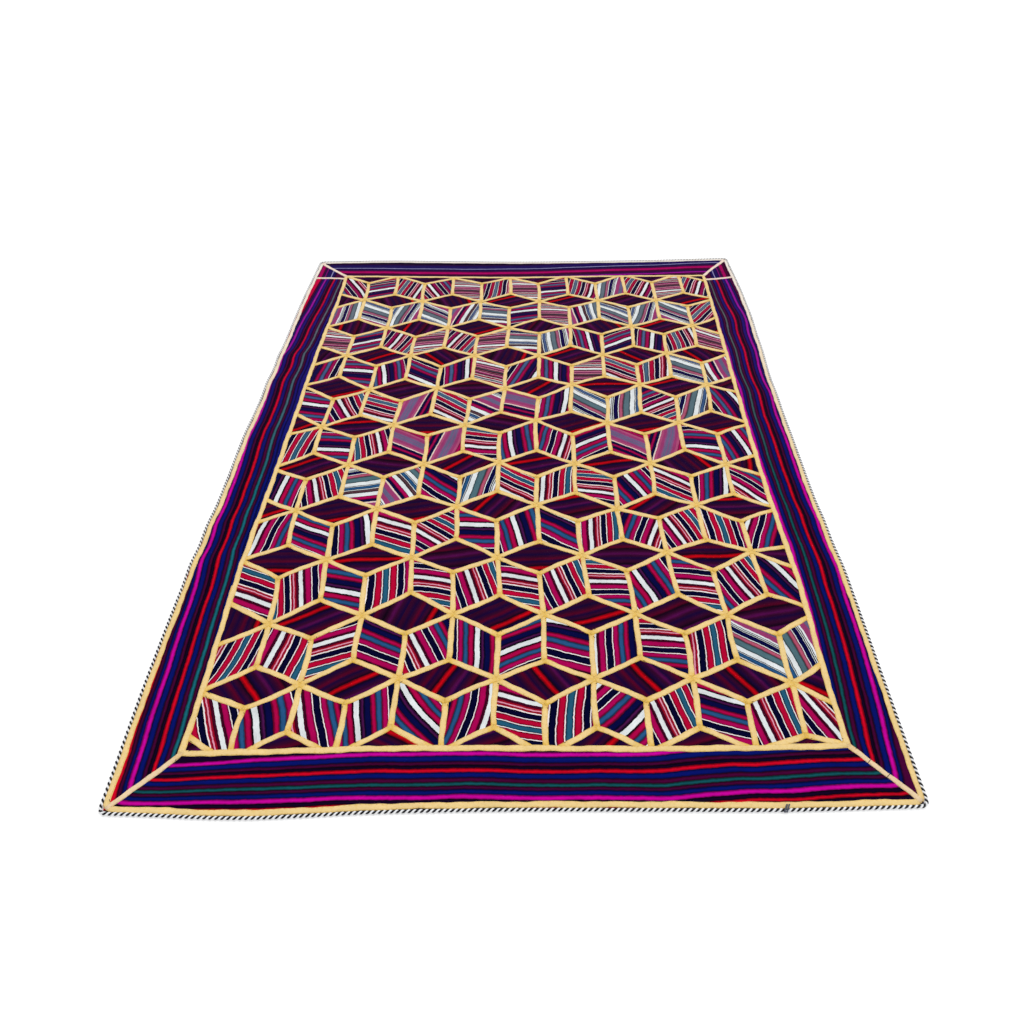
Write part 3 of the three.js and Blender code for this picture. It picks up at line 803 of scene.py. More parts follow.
# The left and right bands carry painted glare towards the far end; the near and far bands don't.
left_wool = striped_wool("left_band_wool", [("royal", 28)] + LEFT_BAND + [
    ("royal", 8), ("wine", 8), ("flame", 22), ("soot", 20)], BORDER_DRIFT, glares_far=True)
right_wool = striped_wool("right_band_wool", BRIGHT_END + SIDE_BAND + [
    ("royal", 8), ("wine", 34), ("soot", 16)], BORDER_DRIFT, glares_far=True)
far_wool = striped_wool("far_band_wool", FAR_BAND, BORDER_DRIFT)
corner_wool = striped_wool("corner_band_wool", CORNER_BAND, BORDER_DRIFT)
CORNER_ROUNDING = 18.0
BAND_INSET = 6.0
BAND_STEPS = 10
BAND_PITCH = 25.0
BAND_SWELL = 0.5
SWELL_WAVE = 55.0
# How far the stripes of a band wander as it was pulled in sewing, in mm, and how far a ridge carries
# them outwards, as a share of its height.
BAND_WANDER = {"near": 1.1, "far": 0.7, "left": 0.9, "right": 0.9}
WANDER_WAVES = (37.0, 61.0)
RIDGE_PULL = 0.8
NEIGHBOURS = {side: ("near", "far") if runs_along(side) else ("left", "right") for side in INWARD}
CORNER_ROUNDS = 8


def corner_between(side, neighbour, line, inset):
    """Where the lines of two neighbouring sides meet, in mm."""
    axis = runs_along(side)
    corner = np.zeros(2)
    for _ in range(CORNER_ROUNDS):
        corner[1 - axis] = side_point(side, line, corner[axis], inset)[1 - axis]
        corner[axis] = side_point(neighbour, line, corner[1 - axis], inset)[axis]
    return corner


ARC_SHARES = (0.5, 0.375, 0.25, 0.125)


def side_path(side, line, inset, rounding=0.0, ends=(None, None), step=BAND_PITCH):
    """Points along a side's line, from its left or near end, to the middle of each rounded corner."""
    axis = runs_along(side)
    stations = []
    arcs = []
    for neighbour, end, towards in zip(NEIGHBOURS[side], ends, (1, -1)):
        if end is not None:
            stations.append(end)
            arcs.append([])
            continue
        corner = corner_between(side, neighbour, line, inset)
        stations.append(corner[axis] + towards * rounding)
        begin = side_point(side, line, stations[-1], inset)
        turn_in = INWARD[side][1 - axis] * rounding
        finish = side_point(neighbour, line, corner[1 - axis] + turn_in, inset)
        shares = ARC_SHARES if rounding else (0.0,)
        arcs.append([begin * (1 - t) ** 2 + corner * 2 * t * (1 - t) + finish * t * t for t in shares])
    count = max(int((stations[1] - stations[0]) / step), 2)
    middle = [side_point(side, line, at, inset) for at in np.linspace(*stations, count + 1)]
    return np.array(arcs[0] + middle + arcs[1][::-1])


def even_points(path, count):
    """The same path as a number of evenly spaced points, with the distance of each along it."""
    lengths = np.concatenate([[0.0], np.cumsum(np.hypot(*np.diff(path, axis=0).T))])
    at = np.linspace(0.0, lengths[-1], count)
    return np.column_stack([np.interp(at, lengths, path[:, k]) for k in (0, 1)]), at


def spot_of(vert):
    """Where a vertex lies in plan, in mm, which is the same on both faces of the cloth."""
    return round(vert.co.x, 3), round(vert.co.y, 3)


def sew_band(name, node, side, wool, chart_inner, chart_outer, crosses=(None, None), pulled=True):
    """A border piece along a side, to its mitres or to the cross seams given. The charts say what lies
    at its two edges, in mm from the band's first yarn, at even steps from its left or near end. In a
    band pulled in sewing the stripes wander a little and follow the ridges of the side."""
    inner = side_path(side, "frame", 0.0, ends=[cross and cross["frame"] for cross in crosses])
    outer = side_path(side, "edge", BAND_INSET, CORNER_ROUNDING,
                      ends=[cross and cross["edge"] for cross in crosses])
    count = max(int(np.hypot(*(outer[-1] - outer[0])) / BAND_PITCH), 6)
    inside, along = even_points(inner, count)
    outside, _ = even_points(outer, count)
    shares = np.linspace(0.0, 1.0, count)
    from_chart = np.interp(shares, np.linspace(0.0, 1.0, len(chart_inner)), chart_inner)
    to_chart = np.interp(shares, np.linspace(0.0, 1.0, len(chart_outer)), chart_outer)
    sideways = np.zeros(count)
    if pulled:
        short, long = WANDER_WAVES
        sideways += BAND_WANDER[side] * (np.sin(along / short) + 0.6 * np.sin(along / long + 1.0))
    if pulled and side in SIDE_RIDGES:
        crests = np.array([crest_at(side, spot[1]) for spot in outside])
        sideways -= RIDGE_PULL * (crests - crests.mean())
    cloth = bmesh.new()
    placed = {}
    grid = []
    for i in range(count):
        line = []
        for t in np.linspace(0.0, 1.0, BAND_STEPS + 1):
            spot = inside[i] + (outside[i] - inside[i]) * t
            swell = math.sin(math.pi * t) * (1 + 0.5 * math.sin(along[i] / SWELL_WAVE + 3 * t))
            vert = cloth.verts.new((*spot, SEAM_HEIGHT + BAND_SWELL * swell))
            charted = from_chart[i] + (to_chart[i] - from_chart[i]) * t + sideways[i]
            placed[spot_of(vert)] = (charted * MM, along[i] * MM)
            line.append(vert)
        grid.append(line)
    for i in range(count - 1):
        for k in range(BAND_STEPS):
            cloth.faces.new((grid[i][k], grid[i][k + 1], grid[i + 1][k + 1], grid[i + 1][k]))
    area = flat_area(cloth) * MM * MM
    close_cloth(cloth)
    layer = cloth.loops.layers.uv.new("UVMap")
    for face in cloth.faces:
        for loop in face.loops:
            loop[layer].uv = placed[spot_of(loop.vert)]
    piece = make_piece(name, cloth, wool)
    settle(piece, "border_wool", node)


# Where the cross seams of the far corners meet the frame seam and the edge, in mm along the rug.
CROSSES = {"left": dict(frame=1066.0, edge=1075.0), "right": dict(frame=1027.0, edge=1043.0)}
sew_band("near_band", "border_near", "near", near_wool,
         (155, 146, 138, 137, 137, 138, 138, 135, 121, 117, 115),
         (-1, -6, -11, -8, -4, -2, 0, 0, -15, -19, -20))
sew_band("far_band", "border_far", "far", far_wool, (23, 25, 24, 15, 2, -13), (150, 160, 158, 145, 134, 124))
SIDE_CUTS = {
    "left": dict(wool=left_wool, inner=(34, 27, 23, 14, 10, 11, 21, 32),
                 outer=(163, 159, 151, 142, 138, 136, 154, 181), corner_inner=(122,), corner_outer=(0,)),
    "right": dict(wool=right_wool, inner=(35, 15, 12, 12, 11, 13, 20, 33),
                  outer=(166, 142, 139, 139, 141, 148, 146, 162), corner_inner=(110,), corner_outer=(-17,)),
}
for side, cut in SIDE_CUTS.items():
    sew_band(side + "_band", "border_" + side, side, cut["wool"], cut["inner"], cut["outer"],
             crosses=(None, CROSSES[side]))
    sew_band("far_%s_corner" % side, "corner_far_" + side, side, corner_wool, cut["corner_inner"],
             cut["corner_outer"], crosses=(CROSSES[side], None), pulled=False)


# The cream tapes: woven cotton tape sewn over every seam of the field, over the frame seam, the
# mitres and the two cross seams, and along the outer edge. Ends overlap where tapes meet.
SEAM_TAPE_WIDTHS = (13.2, 13.2)
MITRE_TAPE_WIDTHS = (12.0, 12.0)
CROSS_TAPE_WIDTHS = (12.0, 12.0)
# The frame and edge tapes narrow a little towards the far end: the width at each end of a side.
FRAME_TAPE_WIDTHS = {
    "near": (14.0, 14.0), "far": (11.5, 11.5), "left": (14.0, 12.5), "right": (14.0, 12.5),
}
EDGE_TAPE_WIDTHS = {
    "near": (13.5, 13.5), "far": (10.2, 10.2), "left": (13.5, 10.2), "right": (12.5, 10.2),
}
# How high a tape is lifted by what lies under it, in mm.
FAR_SEAM_LIFT = 0.25
NEAR_SEAM_LIFT = 0.4
NEXT_SEAM_LIFT = 0.1
FRAME_LIFT = 0.75
EDGE_LIFT = 0.5
MITRE_LIFT = 0.9
CROSS_LIFT = 0.3
TAPE_FLOOR = 2.6
TAPE_STEP = 8.0
OVERLAP = 4.0
DOUBLED_REACH = 26.0
TAPE_LENGTH = 5000.0
SEAM_LOOKS = 81
FEWEST_LOOKS = 4
MITRE_INSET = 14.0
# How a tape sways and how its width varies, as height and wavelength, and its most bow, in mm. The
# widths are shares.
SLOW_SWAY = (0.7, 21.0)
QUICK_SWAY = (0.4, 6.3)
SLOW_WIDTH = (0.065, 33.0)
QUICK_WIDTH = (0.045, 8.7)
MOST_TAPE_BOW = 3.0
# The section of a tape: across it as a share of its width, and up from its underside in mm.
TAPE_SECTION = [(-0.5, 0.0), (-0.5, 0.6), (-0.4, 1.15), (0.0, 1.4), (0.4, 1.15), (0.5, 0.6), (0.5, 0.0)]
STITCH_SIDE = 0.39
STITCH_RISE = 1.2
stitch_lines = []
tape_draws = random.Random(17)


def wave(size, at, phase=0.0):
    """A wave of a height and a wavelength, at a distance along it."""
    height, length = size
    return height * math.sin(at / length + phase)


def lay_tape(cloth, path, widths, lift, doubled_ends):
    """One length of tape along a path, a little uneven, closed all round. Returns its length, and
    leaves the lines of its two sewn edges in the list of seams to stitch."""
    uv = cloth.loops.layers.uv["UVMap"]
    doubled = cloth.verts.layers.float["doubled"]
    total = float(np.sum(np.hypot(*np.diff(path, axis=0).T)))
    count = max(int(total / TAPE_STEP), 2) + 1
    points, along = even_points(path, count)
    tangents = np.gradient(points, axis=0)
    tangents /= np.hypot(*tangents.T)[:, None]
    across = np.column_stack([-tangents[:, 1], tangents[:, 0]])
    run = tape_draws.uniform(0, TAPE_LENGTH)
    phase = tape_draws.uniform(0, math.tau)
    bow = tape_draws.uniform(-MOST_TAPE_BOW, MOST_TAPE_BOW)
    rings = []
    stitched = {-STITCH_SIDE: [], STITCH_SIDE: []}
    for i in range(count):
        sway = wave(SLOW_SWAY, along[i], phase) + bow * math.sin(math.pi * along[i] / total)
        sway += wave(QUICK_SWAY, along[i], 3 * phase)
        wide = widths[0] + (widths[1] - widths[0]) * along[i] / total
        wide *= 1 + wave(SLOW_WIDTH, along[i], 2 * phase) + wave(QUICK_WIDTH, along[i])
        to_ends = [away for away, double in zip((along[i], total - along[i]), doubled_ends) if double]
        near_end = 0.0
        if to_ends:
            near_end = min(max(1 - (min(to_ends) - OVERLAP) / DOUBLED_REACH, 0.0), 1.0)
        ring = []
        for side, up in TAPE_SECTION:
            spot = points[i] + across[i] * (sway + side * wide)
            height = TAPE_FLOOR + up + (lift if up else 0.0)
            vert = cloth.verts.new((*spot, height))
            vert[doubled] = near_end
            ring.append(vert)
        rings.append(ring)
        for side, line in stitched.items():
            spot = points[i] + across[i] * (sway + side * wide)
            line.append((*(spot * MM), (TAPE_FLOOR + STITCH_RISE + lift) * MM))
    stitch_lines.extend(stitched.values())
    places = len(TAPE_SECTION)
    for i in range(count - 1):
        for k in range(places):
            after = (k + 1) % places
            face = cloth.faces.new((rings[i][k], rings[i + 1][k], rings[i + 1][after], rings[i][after]))
            corners = ((k, i), (k, i + 1), (after, i + 1), (after, i))
            for loop, (place, station) in zip(face.loops, corners):
                loop[uv].uv = (TAPE_SECTION[place][0] * widths[0] * MM, (run + along[station]) * MM)
    for ring, i in ((rings[0], 0), (rings[-1][::-1], count - 1)):
        cap = cloth.faces.new(ring)
        for loop in cap.loops:
            loop[uv].uv = (0.0, (run + along[i]) * MM)
    return total


def inside_frame(spot):
    """Whether a point lies within the frame seam."""
    x, y = spot
    return (side_line("left", "frame", y) < x < side_line("right", "frame", y)
            and side_line("near", "frame", x) < y < side_line("far", "frame", x))


def seam_path(start, end):
    """A straight seam, drawn on a little past both ends and trimmed at the frame seam."""
    way = (end - start) / np.hypot(*(end - start))
    start, end = start - way * OVERLAP, end + way * OVERLAP
    points = [start + (end - start) * t for t in np.linspace(0.0, 1.0, SEAM_LOOKS)]
    kept = [point for point in points if inside_frame(point)]
    return np.array([kept[0], kept[-1]]) if len(kept) > FEWEST_LOOKS else None


def sew_tape(name, cotton, widths, paths, nodes, doubled_ends=(False, False)):
    """A tape's piece of one or more lengths, each a path with its lift, and what was cut for it."""
    cloth = bmesh.new()
    cloth.loops.layers.uv.new("UVMap")
    cloth.verts.layers.float.new("doubled")
    length = sum(lay_tape(cloth, path, widths, lift, doubled_ends) for path, lift in paths)
    bmesh.ops.recalc_face_normals(cloth, faces=cloth.faces[:])
    piece = make_piece(name, cloth, cotton)
    settle(piece, "cream_tape", *nodes)


# The tape's thread, pick and relief, and where the painted shade at its edges begins and ends from its
# middle, in metres. Its colour deepens by a share in that painted edge shade, where it lies double and
# in its mottle.
TAPE_WEAVE = dict(thread=0.0009, pick=0.0018, relief=0.0003)
TAPE_UNEVENNESS = 0.3
TAPE_ROUGHNESS = 0.85
TAPE_SHEEN = 0.3
MOTTLE_NOISE = (160.0, 3.0)
TAPE_EDGE_SHADE_DEPTH = 0.45
DOUBLED_DEPTH = 0.8
MOTTLE_DEPTH = 1.4
TAPE_EDGE_SHADE_SPAN = (0.0034, 0.0066)
TAPE_GLARE_SPAN = (-0.5, 1.15)


def cream_cotton(name, plain, gold, far=None):
    """Cream twill tape: plain where it lies single, a deeper gold where two lengths lie double and in
    painted shade at its edges, and paler in painted glare towards the far end where a far colour is given."""
    material, tree, shader, spot, across, along = new_cloth_material(name, TAPE_ROUGHNESS, TAPE_SHEEN)
    lies_double = add_node(tree, "ShaderNodeAttribute", attribute_name="doubled").outputs["Fac"]
    from_middle = work_out(tree, "ABSOLUTE", across)
    # Painted shade: the colour deepens towards the tape's edges, where it curves down.
    rim = add_node(tree, "ShaderNodeMapRange", from_middle, *TAPE_EDGE_SHADE_SPAN, 0.0, TAPE_EDGE_SHADE_DEPTH).outputs[0]
    depth = work_out(tree, "MULTIPLY_ADD", lies_double, DOUBLED_DEPTH, rim)
    depth = work_out(tree, "MULTIPLY_ADD", waver(tree, spot, *MOTTLE_NOISE), MOTTLE_DEPTH, depth)
    tint = add_node(tree, "ShaderNodeValToRGB", depth)
    tint.color_ramp.elements[0].color = (*plain, 1.0)
    tint.color_ramp.elements[1].color = (*gold, 1.0)
    colour = tint.outputs[0]
    if far:
        colour = paint_far_glare(tree, colour, (*far, 1.0), *TAPE_GLARE_SPAN)
    weave_over(tree, shader, colour, across, along, TAPE_UNEVENNESS, **TAPE_WEAVE)
    return material


CREAM = dye(244, 213, 148)
GOLD = dye(232, 186, 68)
seam_cotton = cream_cotton("seam_cotton", CREAM, GOLD)
# Painted glare: the edge and mitre tapes turn nearly white towards the far end.
edge_cotton = cream_cotton("edge_cotton", CREAM, GOLD, far=dye(248, 238, 228))
mitre_cotton = cream_cotton("mitre_cotton", dye(240, 212, 172), dye(230, 192, 128), far=dye(246, 222, 206))
ROWS_OF_DIAMONDS = 10
for row in range(1, ROWS_OF_DIAMONDS + 1):
    nodes = ["seam_tape_row_%02d" % row]
    diamond_rows = [row]
    upright_bands = [row - 1]
    if row == 1:
        diamond_rows.append(0)
        nodes.append("seam_tape_corner_far_right")
    if row == ROWS_OF_DIAMONDS:
        diamond_rows.append(row + 1)
        upright_bands.append(row)
        nodes.append("seam_tape_corner_near_left")
    seams = []
    for band in upright_bands:
        seams += [(*upright_seam(band, place), 0.0) for place in range(PATCHES_IN_BAND + 1)]
    for level in diamond_rows:
        for place in range(DIAMONDS_IN_ROW):
            column = place - level % 2
            left, right = crossing(level, column), crossing(level, column + 1)
            for end, lift in ((FAR, FAR_SEAM_LIFT), (NEAR, NEAR_SEAM_LIFT)):
                tip = diamond_tip(level, column, end)
                seams += [(left, tip, lift), (tip, right, lift + NEXT_SEAM_LIFT)]
    paths = [(seam_path(start, end), lift) for start, end, lift in seams]
    sew_tape("seam_tape_%02d" % row, seam_cotton, SEAM_TAPE_WIDTHS,
             [(path, lift) for path, lift in paths if path is not None], nodes, (True, True))

for side in SIDE_LINES:
    sew_tape(side + "_frame_tape", seam_cotton, FRAME_TAPE_WIDTHS[side],
             [(side_path(side, "frame", 0.0), FRAME_LIFT)], ["frame_tape_" + side])
    widths = EDGE_TAPE_WIDTHS[side]
    middle = BAND_INSET + sum(widths) / 4
    sew_tape(side + "_edge_tape", edge_cotton, widths,
             [(side_path(side, "edge", middle, CORNER_ROUNDING), EDGE_LIFT)], ["edge_tape_" + side])


def mitre(end, side):
    """The line of a mitre, from the frame seam out to the edge tape, in mm."""
    return np.array([corner_between(end, side, "frame", 0.0), corner_between(end, side, "edge", MITRE_INSET)])


for end, side in (("near", "left"), ("near", "right"), ("far", "right"), ("far", "left")):
    sew_tape("%s_%s_mitre_tape" % (end, side), mitre_cotton, MITRE_TAPE_WIDTHS,
             [(mitre(end, side), MITRE_LIFT)], ["mitre_tape_%s_%s" % (end, side)], (True, False))
for side, cross in CROSSES.items():
    path = np.array([side_point(side, "frame", cross["frame"], 0.0),
                     side_point(side, "edge", cross["edge"], MITRE_INSET)])
    sew_tape(side + "_cross_tape", mitre_cotton, CROSS_TAPE_WIDTHS, [(path, CROSS_LIFT)],
             ["cross_tape_" + side], (True, False))


# The edge cord: a black and a white yarn twisted together, sewn round the rug outside the edge tape.
# Its two ends meet on the near side, where grey thread is wound over the cord and the tape.
CORD_INSET = 3.0
CORD_HEIGHT = 3.8
CORD_TWIST = 12.2
STRAND_RADIUS = 2.1
STRAND_OFFSET = 1.7
CORD_STEP = 12.0
CORD_JOIN_X = 548.0
JOIN_GAP = 6.0
POINTS_IN_TWIST = 10.0
STRAND_SIDES = 7
CORD_GLARE_SPAN = (-0.7, 0.5)


def dress(tree, made, material, result):
    """Ends a tree with a real mesh in its material."""
    realized = add_node(tree, "GeometryNodeRealizeInstances", made)
    dressed = add_node(tree, "GeometryNodeSetMaterial", realized.outputs[0])
    tree.links.new(material, dressed.inputs["Material"])
    tree.links.new(dressed.outputs[0], result["Geometry"])


def make_strand_tree():
    """One yarn wound round a path, offset from it and turning once in each twist."""
    tree, given, result = new_group(
        "twisted_strand", "GeometryNodeTree",
        {"Geometry": "Geometry", "Twist": "Float", "Offset": "Float", "Radius": "Float", "Start": "Float",
         "Yarn": "Material"},
        {"Geometry": "Geometry"})
    path = add_node(tree, "GeometryNodeMeshToCurve", given["Geometry"]).outputs[0]
    resample = add_node(tree, "GeometryNodeResampleCurve", path, mode="LENGTH")
    tree.links.new(work_out(tree, "DIVIDE", given["Twist"], POINTS_IN_TWIST), resample.inputs["Length"])
    length = tree.nodes.new("GeometryNodeSplineParameter").outputs["Length"]
    turns = work_out(tree, "DIVIDE", length, given["Twist"])
    angle = work_out(tree, "MULTIPLY_ADD", turns, math.tau, given["Start"])
    sideways = work_out(tree, "MULTIPLY", work_out(tree, "COSINE", angle), given["Offset"])
    upwards = work_out(tree, "MULTIPLY", work_out(tree, "SINE", angle), given["Offset"])
    tangent = tree.nodes.new("GeometryNodeInputTangent").outputs[0]
    side = add_node(tree, "ShaderNodeVectorMath", tangent, (0.0, 0.0, 1.0),
                    operation="CROSS_PRODUCT").outputs[0]
    out = add_node(tree, "ShaderNodeVectorMath", side, operation="SCALE")
    tree.links.new(sideways, out.inputs["Scale"])
    lifted = add_node(tree, "ShaderNodeCombineXYZ", 0.0, 0.0, upwards).outputs[0]
    offset = add_node(tree, "ShaderNodeVectorMath", out.outputs[0], lifted, operation="ADD").outputs[0]
    wound = add_node(tree, "GeometryNodeSetPosition", resample.outputs[0])
    tree.links.new(offset, wound.inputs["Offset"])
    section = add_node(tree, "GeometryNodeCurvePrimitiveCircle", STRAND_SIDES)
    tree.links.new(given["Radius"], section.inputs["Radius"])
    yarn = add_node(tree, "GeometryNodeCurveToMesh", wound.outputs[0], section.outputs[0])
    yarn.inputs["Fill Caps"].default_value = True
    dress(tree, yarn.outputs[0], given["Yarn"], result)
    return tree


def grow(name, paths, tree, **values):
    """Runs a node tree on paths of points and keeps the result as a plain mesh piece."""
    mesh = bpy.data.meshes.new(name + "_path")
    points = []
    edges = []
    for path in paths:
        edges += [(i - 1, i) for i in range(len(points) + 1, len(points) + len(path))]
        points += [(x, y, z + lift_of(x, y)) for x, y, z in path]
    mesh.from_pydata(points, edges, [])
    carrier = bpy.data.objects.new(name + "_path", mesh)
    scene.collection.objects.link(carrier)
    modifier = carrier.modifiers.new("grow", "NODES")
    modifier.node_group = tree
    for socket in tree.interface.items_tree:
        if socket.in_out == "INPUT" and socket.name in values:
            modifier[socket.identifier] = values[socket.name]
    evaluated = carrier.evaluated_get(bpy.context.evaluated_depsgraph_get())
    grown = bpy.data.meshes.new_from_object(evaluated)
    bpy.data.objects.remove(carrier)
    grown.name = name
    for polygon in grown.polygons:
        polygon.use_smooth = True
    piece = bpy.data.objects.new(name, grown)
    scene.collection.objects.link(piece)
    return piece


YARN_FINISH = {"Roughness": 0.9, "Sheen Weight": 0.1, "Specular IOR Level": 0.25}
FIBRE_NOISE = (1400.0, 3.0)
FIBRE_STOPS = (0.35, 0.65)
FIBRE_STRENGTH = 0.5
FIBRE_RELIEF = 0.0004


def spun_yarn(name, colour, shade, far=None):
    """Soft spun yarn: mottled along its fibres, matt and a little fuzzy. A far colour is the paler one
    that painted glare turns it to at the far end of the rug."""
    material, tree, shader = new_material(name, YARN_FINISH)
    spot = tree.nodes.new("ShaderNodeTexCoord").outputs["Object"]
    fibres = add_node(tree, "ShaderNodeTexNoise", spot, None, *FIBRE_NOISE).outputs["Fac"]
    tint = add_node(tree, "ShaderNodeValToRGB", fibres)
    for stop, position, level in zip(tint.color_ramp.elements, FIBRE_STOPS, (shade, colour)):
        stop.position = position
        stop.color = (*level, 1.0)
    dyed = paint_far_glare(tree, tint.outputs[0], (*far, 1.0), *CORD_GLARE_SPAN) if far else tint.outputs[0]
    tree.links.new(dyed, shader.inputs["Base Color"])
    add_relief(tree, shader, fibres, FIBRE_STRENGTH, FIBRE_RELIEF)
    return material


near_cord, right_cord, far_cord, left_cord = (
    side_path(side, "edge", CORD_INSET, CORNER_ROUNDING, step=CORD_STEP)
    for side in ("near", "right", "far", "left"))
after_join = near_cord[near_cord[:, 0] > CORD_JOIN_X + JOIN_GAP]
before_join = near_cord[near_cord[:, 0] < CORD_JOIN_X - JOIN_GAP]
join = side_point("near", "edge", CORD_JOIN_X, CORD_INSET)
cord_route = np.concatenate([[join], after_join, right_cord[1:], far_cord[::-1][1:], left_cord[::-1][1:],
                             before_join[1:], [join]])
cord_points = [(x * MM, y * MM, CORD_HEIGHT * MM) for x, y in cord_route]
twisted_strand = make_strand_tree()
# Painted glare: the black strand turns pale grey towards the far end.
black_yarn = spun_yarn("black_yarn", dye(26, 25, 32), dye(10, 10, 14), far=dye(184, 182, 179))
white_yarn = spun_yarn("white_yarn", dye(252, 252, 252), dye(232, 235, 240))
THREAD_TWIST = 12.0


def wind_yarn(name, paths, yarn, radius, nodes=(), twist=THREAD_TWIST, offset=0.0, start=0.0):
    """A yarn or thread along paths, offset from them where it is twisted with another, in mm."""
    piece = grow(name, paths, twisted_strand, Twist=twist * MM, Offset=offset * MM, Radius=radius * MM,
                 Start=start, Yarn=yarn)
    settle(piece, "twisted_yarn", *nodes)


for name, yarn, start in (("black_strand", black_yarn, 0.0), ("white_strand", white_yarn, math.pi)):
    wind_yarn(name, [cord_points], yarn, STRAND_RADIUS, ["edge_cord"], CORD_TWIST, STRAND_OFFSET, start)

# One turn of the winding over the join: in from the rug's edge and up from the floor, in mm. It leans
# to the right over the tape, and its turns are not quite even.
WRAP_TURN = [(-1.4, 3.8), (0.0, 7.0), (3, 8.3), (6, 7.4), (9, 5.8), (12, 5.3), (14.5, 4.8), (15.6, 3.2),
             (14.4, 0.9), (9, 0.8), (3, 0.8), (-0.6, 1.3)]
WRAP_TURNS = 6
WRAP_LENGTH = 9.0
WRAP_LEAN = 0.5
WRAP_SHAKE = 0.9
WRAP_RADIUS = 0.8
wrap_points = []
for k in range(WRAP_TURNS * len(WRAP_TURN)):
    inset, height = WRAP_TURN[k % len(WRAP_TURN)]
    x = CORD_JOIN_X + WRAP_LENGTH * (k / (WRAP_TURNS * len(WRAP_TURN)) - 0.5) + WRAP_LEAN * inset
    x += WRAP_SHAKE * math.sin(2.3 * (k // len(WRAP_TURN)))
    wrap_points.append((*(side_point("near", "edge", x, inset) * MM), height * MM))
grey_thread = spun_yarn("grey_thread", dye(104, 108, 122), dye(52, 56, 72))
wind_yarn("join_wrap", [wrap_points], grey_thread, WRAP_RADIUS)


# The sewing: short stitches of cotton thread along both edges of every tape, by hand, so none is quite
# straight, and here and there a tack of dark thread over the end of a tape.
STITCH_PITCH = 11.0
STITCH_LENGTH = 3.6
STITCH_THICKNESS = 1.0
# How far a stitch leans off its line, and between which shares its size varies.
ASKEW = np.array((0.35, 0.35, 0.08))
SMALLEST = (0.7, 0.8, 0.8)
LARGEST = (1.3, 1.2, 1.2)


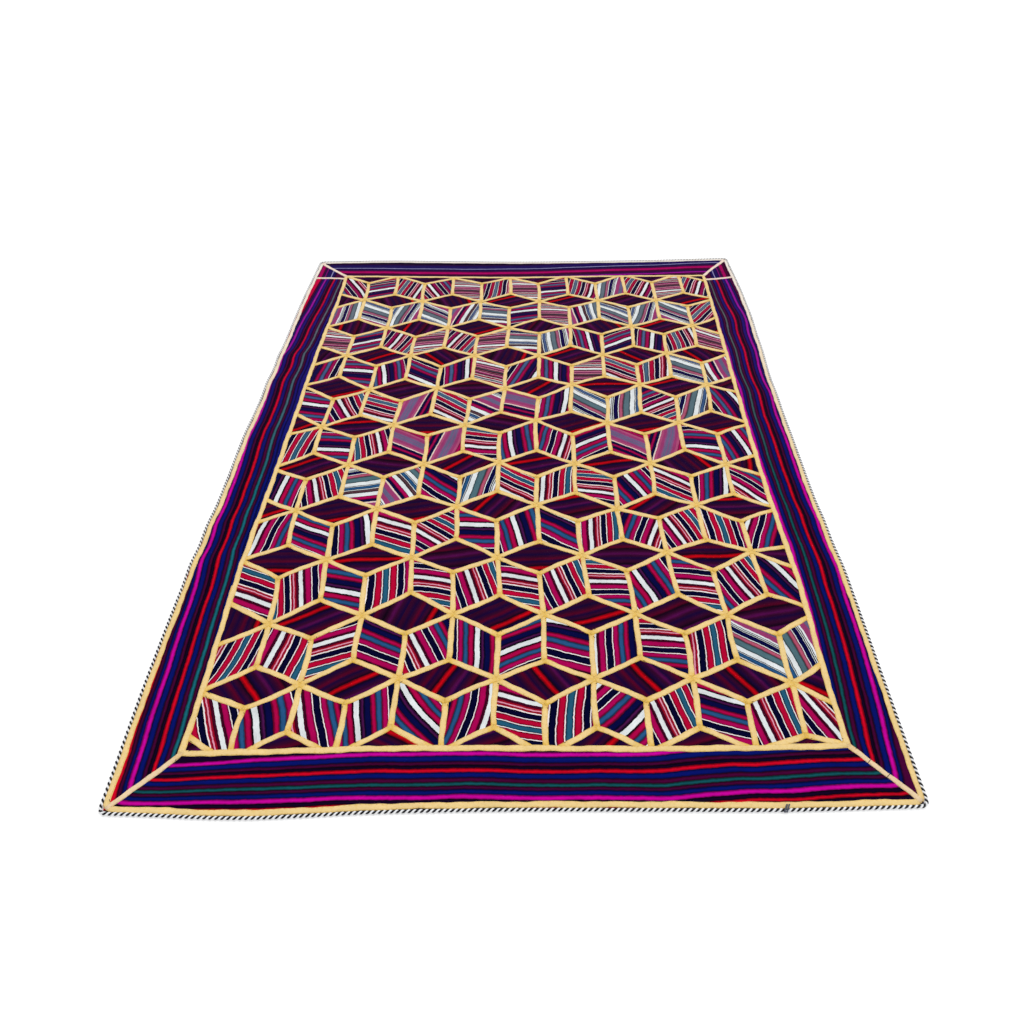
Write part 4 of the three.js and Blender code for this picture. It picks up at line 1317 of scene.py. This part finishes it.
def make_stitch_tree():
    """Short stitches along paths at an even pitch, each a little askew and of its own size."""
    tree, given, result = new_group(
        "sewn_stitches", "GeometryNodeTree",
        {"Geometry": "Geometry", "Pitch": "Float", "Length": "Float", "Thickness": "Float",
         "Thread": "Material"},
        {"Geometry": "Geometry"})
    path = add_node(tree, "GeometryNodeMeshToCurve", given["Geometry"]).outputs[0]
    spaced = add_node(tree, "GeometryNodeResampleCurve", path, mode="LENGTH")
    tree.links.new(given["Pitch"], spaced.inputs["Length"])
    tangent = tree.nodes.new("GeometryNodeInputTangent").outputs[0]
    askew = add_node(tree, "FunctionNodeRandomValue", -ASKEW, ASKEW, data_type="FLOAT_VECTOR")
    askew.inputs["Seed"].default_value = 5
    way = add_node(tree, "ShaderNodeVectorMath", tangent, askew.outputs[0], operation="ADD").outputs[0]
    facing = add_node(tree, "FunctionNodeAlignRotationToVector", axis="X")
    tree.links.new(way, facing.inputs["Vector"])
    shape = add_node(tree, "ShaderNodeCombineXYZ", work_out(tree, "MULTIPLY", given["Length"], 0.5),
                     work_out(tree, "MULTIPLY", given["Thickness"], 0.5),
                     work_out(tree, "MULTIPLY", given["Thickness"], 0.4)).outputs[0]
    varied = add_node(tree, "FunctionNodeRandomValue", SMALLEST, LARGEST, data_type="FLOAT_VECTOR")
    varied.inputs["Seed"].default_value = 9
    size = add_node(tree, "ShaderNodeVectorMath", shape, varied.outputs[0], operation="MULTIPLY").outputs[0]
    bead = add_node(tree, "GeometryNodeMeshUVSphere", 4, 2, 1.0).outputs["Mesh"]
    stitches = add_node(tree, "GeometryNodeInstanceOnPoints", spaced.outputs[0])
    tree.links.new(bead, stitches.inputs["Instance"])
    tree.links.new(facing.outputs[0], stitches.inputs["Rotation"])
    tree.links.new(size, stitches.inputs["Scale"])
    dress(tree, stitches.outputs[0], given["Thread"], result)
    return tree


sewn_stitches = make_stitch_tree()
cotton_thread = spun_yarn("cotton_thread", dye(226, 190, 118), dye(190, 148, 84))
stitches = grow("tape_stitches", stitch_lines, sewn_stitches, Pitch=STITCH_PITCH * MM,
                Length=STITCH_LENGTH * MM, Thickness=STITCH_THICKNESS * MM, Thread=cotton_thread)
settle(stitches, "cream_tape")

TACK_SHARE = 0.2
TACK_PLACE = 2
TACK_REACH = (1.8, 3.2)
TACK_RADIUS = 0.6
# Up from the line of stitches, in mm, at a tack's beginning, middle and end.
TACK_RISE = (-0.6, 0.5, -0.2)
# Where tacks cross the mitre tape of the near right corner, as shares of its length, and how high they
# stand over its middle and how far they come down at its edges, in mm.
MITRE_TACKS = (0.3, 0.56)
MITRE_TACK_HEIGHT = TAPE_FLOOR + 2.9
MITRE_TACK_DROP = 0.9
tack_draws = random.Random(29)
tacks = []
for line in stitch_lines:
    if len(line) > 3 * TACK_PLACE and tack_draws.random() < TACK_SHARE:
        x, y, z = line[TACK_PLACE]
        lean = tack_draws.uniform(0, math.pi)
        reach = tack_draws.uniform(*TACK_REACH) * MM
        dx, dy = reach * math.cos(lean), reach * math.sin(lean)
        tacks.append([(x + dx * t, y + dy * t, z + rise * MM) for t, rise in zip((-1, 0, 1), TACK_RISE)])
mitre_start, mitre_end = mitre("near", "right")
mitre_way = mitre_end - mitre_start
mitre_across = np.array([-mitre_way[1], mitre_way[0]]) / np.hypot(*mitre_way) * MITRE_TAPE_WIDTHS[0] / 2
for share in MITRE_TACKS:
    spot = mitre_start + mitre_way * share
    tacks.append([(*((spot + mitre_across * t) * MM), (MITRE_TACK_HEIGHT - MITRE_TACK_DROP * abs(t)) * MM)
                  for t in (-1, 0, 1)])
dark_thread = spun_yarn("dark_thread", dye(72, 52, 40), dye(48, 34, 30))
wind_yarn("dark_tacks", tacks, dark_thread, TACK_RADIUS)
